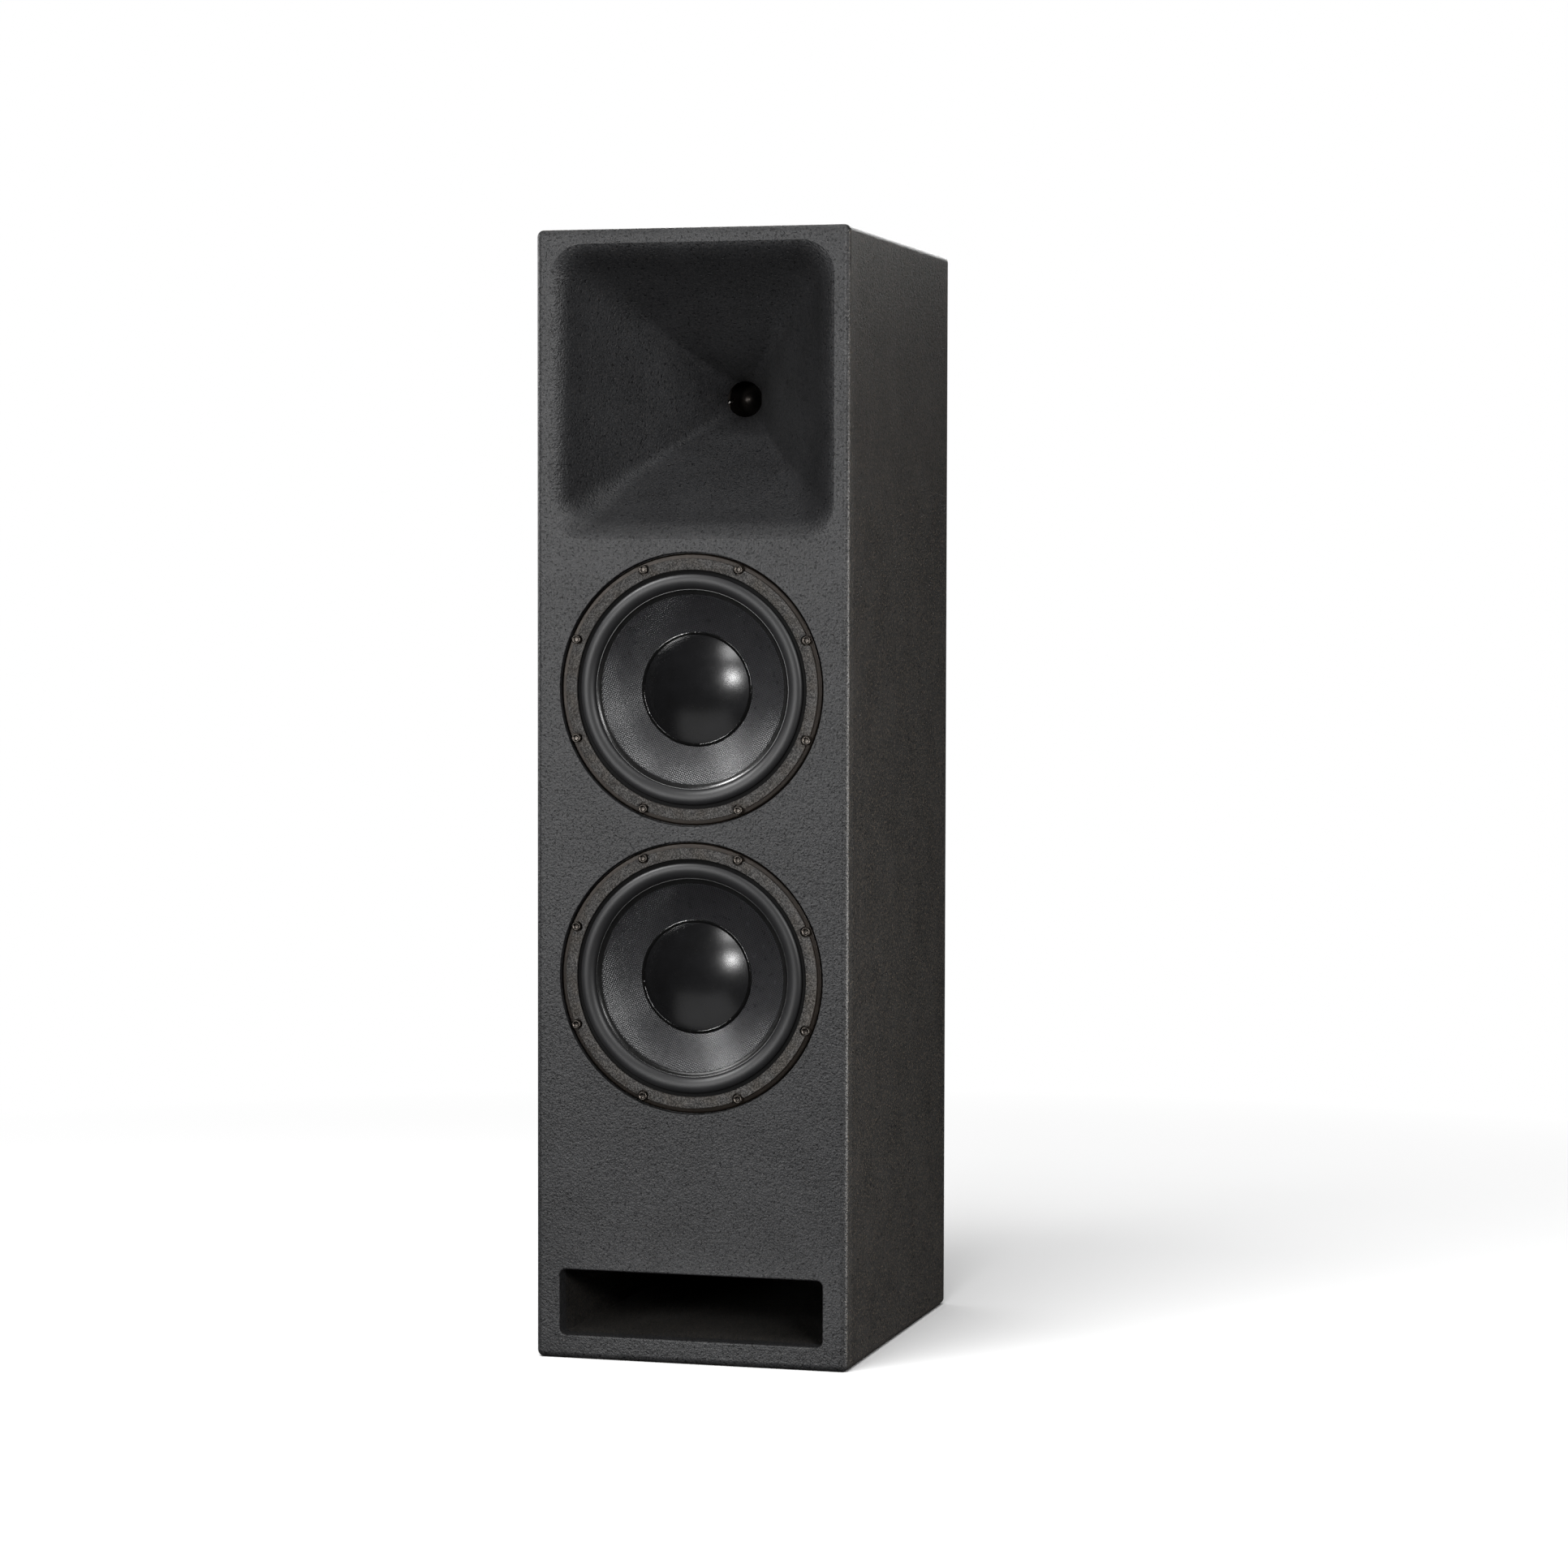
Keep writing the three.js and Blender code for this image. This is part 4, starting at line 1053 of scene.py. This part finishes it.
def hf_driver():
    centre = (0, HORN_Z)
    radius, front, back = round_size("hf_pole_plate")
    profile = [(THROAT, front), (radius, front), (radius, 196.3), (36.9, 196.3), (36.9, back)]
    profile += [(33.5, back), (33.5, 226)]
    pole = turned("hf_throat_plate", eased(profile, 0.5), centre, LOOK["plug_metal"], 128, 35)
    place(pole, ROOT, "plain_steel", "hf_pole_plate")
    plain_ring("hf_ferrite_ring", "hf_magnet", 44, "ferrite", 1.5)
    plain_ring("hf_rear_plate", "hf_top_plate", 38.6, "plain_steel")
    bullet = [(0, 191), (1.6, 191.25), (3, 192), (4.6, 193.7), (6, 196), (8.3, 200.8), (11, 206), (15, 211.8)]
    bullet += [(20, 217), (28, 226), (33.2, 226.3), (33.2, 232), (26, 235.6), (14, 239), (0, 240.2)]
    plug = turned("hf_plug", bullet, centre, LOOK["plug_metal"], 96, 40)
    slots = []
    for i in range(8):
        wedge = box_mesh("slot", (-1.5, 218, 12), (1.5, 245, 31), LOOK["cast_aluminium"])
        turn = Matrix.Translation(at(0, 0, HORN_Z)) @ Matrix.Rotation(math.radians(45 * i), 4, "Y")
        wedge.data.transform(turn @ Matrix.Translation(-at(0, 0, 0)))
        slots.append(wedge)
    cut(plug, *slots)
    place(plug, ROOT, "cast_aluminium", "hf_phase_plug")
    edge, _, _ = round_size("hf_diaphragm")
    arc = [i / 16 for i in range(17)]
    outer = [(37.95 * t, 234.4 + 7.6 * (1 - t * t)) for t in arc]
    inner = [(37.4 * t, 233.7 + 7.6 * (1 - t * t)) for t in reversed(arc)]
    profile = outer + [(edge, 234.4), (edge, 233.7), (37.95, 233.7), (37.95, 223), (37.4, 223)] + inner
    foil = turned("hf_dome", profile, centre, LOOK["titanium_foil"], 96, 40)
    place(foil, "hf_diaphragm_group", "titanium_foil", "hf_diaphragm")
    radius, front, back = round_size("hf_rear_cover")
    rim = eased([(66, front), (radius, front), (radius, back - 4), (radius - 4, back)], 1.5, closed=False)
    ribs = [(60, back), (58, back - 1.5), (46, back - 1.5), (44, back), (0, back)]
    profile = [(0, 257), (66, 257), *rim, *ribs]
    cover = turned("hf_cover", profile, centre, LOOK["black_plastic"], 128, 35)
    place(cover, ROOT, "black_plastic", "hf_rear_cover")


# ---- Input plate, sockets, crossover and leads ----

WELL = {"radius": 11, "post": 4.5, "depth": 16}


def input_plate():
    low, high = span("input_plate")
    x, _, z = middle("input_plate")
    half_x, half_z = (high[0] - low[0]) / 2, (high[2] - low[2]) / 2
    rings = []
    for inset, depth in ((0, low[1]), (0, high[1] - 0.6), (0.2, high[1] - 0.2), (0.6, high[1])):
        points = rounded_rectangle(half_x - inset, half_z - inset, 6 - inset, 8)
        rings.append(ring_at(points, depth, (x, z)))
    plate = lofted("rear_plate", rings, LOOK["plate_steel"], 30, caps=True)
    cutters = []
    for side in ("left", "right"):
        sx, _, sz = middle(f"{side}_input_socket")
        profile = [(0, low[1] - 2), (12, low[1] - 2), (12, high[1] + 2), (0, high[1] + 2)]
        cutters.append(turned("hole", profile, (sx, sz), LOOK["plate_steel"], 64))
    weighted(cut(plate, *cutters))
    place(plate, ROOT, "black_steel", "input_plate")
    inset = 7
    for i, (sx, sz) in enumerate(((-1, -1), (1, -1), (1, 1), (-1, 1), (0, 1), (0, -1)), 1):
        centre = (x + sx * (half_x - inset), z + sz * (half_z - inset))
        pan_screw(f"plate_screw_{i}", centre, high[1] - 1.9)


def pan_screw(name, centre, seat):
    """A low countersunk screw head with a cross recess, flush with the plate."""
    top = seat + 1.85
    profile = [(0, seat - 8), (1.6, seat - 7), (1.6, seat), (3.4, top - 0.25), (3.2, top), (0, top)]
    head = turned(name, profile, centre, LOOK["black_steel"], 40, 35)
    cross = []
    for a, b in ((2.0, 0.42), (0.42, 2.0)):
        low = (centre[0] - a, top - 0.9, centre[1] - b)
        high = (centre[0] + a, top + 1, centre[1] + b)
        cross.append(box_mesh("cross", low, high, LOOK["black_steel"]))
    cut(head, *cross)
    place(head, ROOT, "black_steel")


def sockets():
    for side in ("left", "right"):
        node = f"{side}_input_socket"
        flange, front, back = round_size(node)
        x, _, z = middle(node)
        well = back - WELL["depth"]
        profile = [(0, front), (12.5, front), (12.5, back - 2), (flange, back - 2), (flange, back)]
        profile += [(WELL["radius"] + 0.6, back), (WELL["radius"], back - 0.6), (WELL["radius"], well)]
        profile += [(WELL["post"], well), (WELL["post"], back - 0.7), (WELL["post"] - 0.7, back), (0, back)]
        body = turned(f"{side}_socket_body", profile, (x, z), LOOK["black_plastic"], 96, 35)
        ways = []
        for i in range(2):
            angle = math.pi * i
            cx, cz = x + 10.6 * math.cos(angle), z + 10.6 * math.sin(angle)
            low, high = (cx - 1.6, well + 2, cz - 1.4), (cx + 1.6, back + 1, cz + 1.4)
            ways.append(box_mesh("way", low, high, LOOK["black_plastic"]))
        cut(body, *ways)
        place(body, ROOT, "black_plastic", node)
        for i in range(4):
            angle = math.radians(45 + 90 * i)
            cx, cz = x + 9.9 * math.cos(angle), z + 9.9 * math.sin(angle)
            low, high = (cx - 0.7, well, cz - 0.7), (cx + 0.7, back - 4, cz + 0.7)
            blade = box_mesh(f"{side}_socket_contact_{i + 1}", low, high, LOOK["cast_aluminium"], 0.2)
            place(blade, ROOT, "plain_steel")


def crossover():
    low, high = span("crossover_board")
    board = box_mesh("circuit_card", low, high, LOOK["circuit_board"], 0.2)
    place(board, ROOT, "circuit_board", "crossover_board")
    plain_ring("wound_inductor", "crossover_inductor", 10, "copper_coil", 3.0)
    low, high = span("crossover_capacitor")
    centre = [(a + b) / 2 for a, b in zip(low, high)]
    radius = (high[2] - low[2]) / 2
    profile = eased([(0, low[0]), (radius, low[0]), (radius, high[0]), (0, high[0])], 1.5, closed=False)
    turns = [2 * math.pi * i / 64 for i in range(64)]
    rings = []
    for r, along in profile:
        spokes = turns if r > 1e-6 else turns[:1]
        rings.append([at(along, centre[1] + r * math.cos(a), centre[2] + r * math.sin(a)) for a in spokes])
    can = lofted("film_capacitor", rings, LOOK["black_plastic"], 35)
    place(can, ROOT, "black_plastic", "crossover_capacitor")


def lead(name, node, points):
    """A round lead along the curve that its CAD solid follows."""
    curve = bpy.data.curves.new(name, "CURVE")
    curve.dimensions = "3D"
    curve.bevel_depth = 2.15 * MM
    curve.bevel_resolution = 4
    curve.use_fill_caps = True
    spline = curve.splines.new("POLY")
    fine = catmull_rom([Vector(p) for p in points])
    spline.points.add(len(fine) - 1)
    for target, p in zip(spline.points, fine):
        target.co = (*at(*p), 1)
    holder = add_object(name + "_curve", curve)
    depsgraph = bpy.context.evaluated_depsgraph_get()
    mesh = bpy.data.meshes.new_from_object(holder.evaluated_get(depsgraph))
    bpy.data.objects.remove(holder)
    obj = add_object(name, mesh)
    for face in mesh.polygons:
        face.use_smooth = True
    mesh.materials.clear()
    mesh.materials.append(LOOK["lead_sheath"])
    place(obj, ROOT, "lead_sheath", node)


def catmull_rom(points, steps=10):
    """Points along a centripetal Catmull-Rom curve, as the CAD solid's path is."""
    ends = [points[0] * 2 - points[1], *points, points[-1] * 2 - points[-2]]
    fine = []
    for p0, p1, p2, p3 in zip(ends, ends[1:], ends[2:], ends[3:]):
        t = [0.0]
        for a, b in ((p0, p1), (p1, p2), (p2, p3)):
            t.append(t[-1] + max((b - a).length, 1e-6) ** 0.5)
        for i in range(steps):
            s = t[1] + (t[2] - t[1]) * i / steps
            a1 = p0.lerp(p1, (s - t[0]) / (t[1] - t[0]))
            a2 = p1.lerp(p2, (s - t[1]) / (t[2] - t[1]))
            a3 = p2.lerp(p3, (s - t[2]) / (t[3] - t[2]))
            b1 = a1.lerp(a2, (s - t[0]) / (t[2] - t[0]))
            b2 = a2.lerp(a3, (s - t[1]) / (t[3] - t[1]))
            fine.append(b1.lerp(b2, (s - t[1]) / (t[2] - t[1])))
    return [*fine, points[-1]]


def leads():
    face = span("crossover_board")[0][1] - 0.3
    tab_x, tab_depth = -102, 66.8
    upper, lower = WOOFERS["upper"], WOOFERS["lower"]
    lead("upper_woofer_wire", "upper_woofer_lead",
         [(-25, face, 238), (-25, face - 14, 238), (-38, 345, 262), (-60, 335, 400), (-62, 335, 500), (-80, 310, 600),
          (tab_x, 200, upper), (tab_x, tab_depth, upper)])
    lead("lower_woofer_wire", "lower_woofer_lead",
         [(-58, face, 238), (-58, face - 14, 238), (-66, 345, 256), (-90, 290, 330), (tab_x, 200, lower),
          (tab_x, tab_depth, lower)])
    lead("hf_wire", "hf_lead",
         [(12, face, 238), (12, face - 14, 238), (14, 345, 262), (40, 335, 400), (48, 335, 520), (40, 340, 760),
          (20, 320, 890), (20, 285, HORN_Z), (20, span("hf_rear_cover")[1][1] + 0.3, HORN_Z)])


# ---- Camera, floor and light ----

CAMERA = {"place": (1.1281, -3.9449, 0.7297), "azimuth": 15.48, "elevation": 2.66, "roll": 0.13, "lens": 96.0}


def direction(azimuth, elevation):
    """From the cabinet outwards, in degrees; azimuth 0 is straight in front."""
    a, e = math.radians(azimuth), math.radians(elevation)
    return Vector((math.sin(a) * math.cos(e), -math.cos(a) * math.cos(e), math.sin(e)))


def camera():
    data = bpy.data.cameras.new("camera")
    data.sensor_width = 36
    data.lens = CAMERA["lens"]
    obj = add_object("camera", data)
    a, roll = math.radians(CAMERA["azimuth"]), math.radians(CAMERA["roll"])
    back = direction(CAMERA["azimuth"], CAMERA["elevation"])
    right = Vector((math.cos(a), math.sin(a), 0))
    up = back.cross(right)
    turned_right = right * math.cos(roll) + up * math.sin(roll)
    turned_up = up * math.cos(roll) - right * math.sin(roll)
    matrix = Matrix((turned_right, turned_up, back)).transposed().to_4x4()
    matrix.translation = Vector(CAMERA["place"])
    obj.matrix_world = matrix
    bpy.context.scene.camera = obj


def floor():
    """A pale floor that turns to plain white away from the object. Its light does not bounce back up."""
    mesh = bpy.data.meshes.new("floor")
    bm = bmesh.new()
    bmesh.ops.create_circle(bm, cap_ends=True, segments=96, radius=30)
    bm.to_mesh(mesh)
    bm.free()
    obj = add_object("floor", mesh)
    obj.visible_diffuse = False
    obj.visible_glossy = False
    s = Shader("floor", Roughness=0.9, Specular_IOR_Level=0.1)
    s.bsdf.inputs["Base Color"].default_value = (0.92, 0.92, 0.92, 1)
    length = s.tree.nodes.new("ShaderNodeVectorMath")
    length.operation = "LENGTH"
    s.link(s.position, length.inputs[0])
    far = s.ramp(s.math("MULTIPLY", length.outputs["Value"], 1 / 4000), (0.28, 0.0), (0.5, 1.0))
    glow = s.tree.nodes.new("ShaderNodeEmission")
    mixer = s.tree.nodes.new("ShaderNodeMixShader")
    s.link(far, mixer.inputs["Fac"])
    s.link(s.bsdf.outputs[0], mixer.inputs[1])
    s.link(glow.outputs[0], mixer.inputs[2])
    s.link(mixer.outputs[0], s.tree.nodes["Material Output"].inputs["Surface"])
    mesh.materials.append(s.material)
    return obj


def softbox(name, azimuth, elevation, distance, width, height, power, colour=(1, 1, 1), *, only, aim=0.587):
    """A rectangular area light that looks at the cabinet's middle line, aim metres up.

    It lights no object outside the collection that only gives.
    """
    data = bpy.data.lights.new(name, "AREA")
    data.shape = "RECTANGLE"
    data.size = width
    data.size_y = height
    data.energy = power
    data.color = colour
    obj = add_object(name, data)
    away = direction(azimuth, elevation)
    target = Vector((0, 0, aim))
    obj.location = target + away * distance
    obj.rotation_euler = away.to_track_quat("Z", "Y").to_euler()
    obj.visible_camera = False
    obj.light_linking.receiver_collection = only


WARM = (1.0, 0.98, 0.955)
GLOSSY = ("woven_cone", "dome", "glue_bead")


def group(name, objects):
    collection = bpy.data.collections.new(name)
    for obj in objects:
        collection.objects.link(obj)
    return collection


def lights(ground):
    """Studio lights; they come after the pieces, because each one lights only the pieces of one group."""
    pieces = [obj for obj in bpy.context.scene.objects if obj.type == "MESH" and obj is not ground]
    matt = group("matt_pieces", [obj for obj in pieces if not obj.name.endswith(GLOSSY)])
    object_ = group("object", pieces)
    coat = group("front_faces", [obj for obj in pieces if obj.name in ("front_board", "horn_flare")])
    domes = group("domes", [obj for obj in pieces if obj.name.endswith("woofer_dome")])
    moving = ("woven_cone", "surround_roll", "glue_bead")
    cones = group("cones", [obj for obj in pieces if obj.name.endswith(moving)])
    unlit = ("front_board", "horn_flare", "left_side_board", "cone", "dome", "roll", "bead", "plug")
    sides = group("sides", [obj for obj in pieces if not obj.name.endswith(unlit)])
    stage = group("stage", [ground])
    softbox("key", 30, 13, 4.6, 0.8, 0.8, 66, only=object_)
    softbox("high_left", -44, 37, 3.8, 1.0, 0.8, 100, only=cones)
    softbox("high_right", 30, 42, 3.2, 0.9, 0.9, 17, only=object_)
    softbox("soft_left", -30, 42, 3.2, 0.9, 0.9, 12, only=coat)
    softbox("front", -21, 5, 3.2, 0.9, 1.1, 31, only=matt)
    softbox("bounce", -5, -55, 3.0, 3.4, 3.4, 12, only=domes)
    softbox("side", 48, -12, 1.5, 0.7, 0.8, 20, WARM, only=sides)
    softbox("edge", 94, -6, 2.0, 0.5, 1.0, 30, WARM, only=coat)
    softbox("left_side", -100, 15, 3.4, 1.4, 2.0, 45, only=object_)
    softbox("rear", 185, 30, 3.4, 1.8, 1.8, 70, only=object_)
    softbox("top", 0, 85, 2.6, 1.6, 1.6, 18, only=object_)
    softbox("foot", 0, 3, 0.33, 0.28, 0.05, 0.05, only=coat, aim=0.015)
    softbox("floor_key", -11, 52, 4.0, 2.8, 2.8, 208, only=stage)
    softbox("floor_sky", 0, 90, 2.9, 7.0, 7.0, 180, only=stage)
    world = bpy.data.worlds.new("studio")
    world.use_nodes = True
    bpy.context.scene.world = world
    tree = world.node_tree
    seen = tree.nodes["Background"]
    seen.inputs["Color"].default_value = (1, 1, 1, 1)
    seen.inputs["Strength"].default_value = 1.0
    light = tree.nodes.new("ShaderNodeBackground")
    light.inputs["Color"].default_value = (1, 1, 1, 1)
    light.inputs["Strength"].default_value = 0.015
    path = tree.nodes.new("ShaderNodeLightPath")
    mixer = tree.nodes.new("ShaderNodeMixShader")
    tree.links.new(path.outputs["Is Camera Ray"], mixer.inputs["Fac"])
    tree.links.new(light.outputs[0], mixer.inputs[1])
    tree.links.new(seen.outputs[0], mixer.inputs[2])
    tree.links.new(mixer.outputs[0], tree.nodes["World Output"].inputs["Surface"])
    bpy.context.scene.view_settings.view_transform = "Standard"


camera()
cabinet()
horn()
for which, z in WOOFERS.items():
    woofer(which, z)
hf_driver()
input_plate()
sockets()
crossover()
leads()
lights(floor())
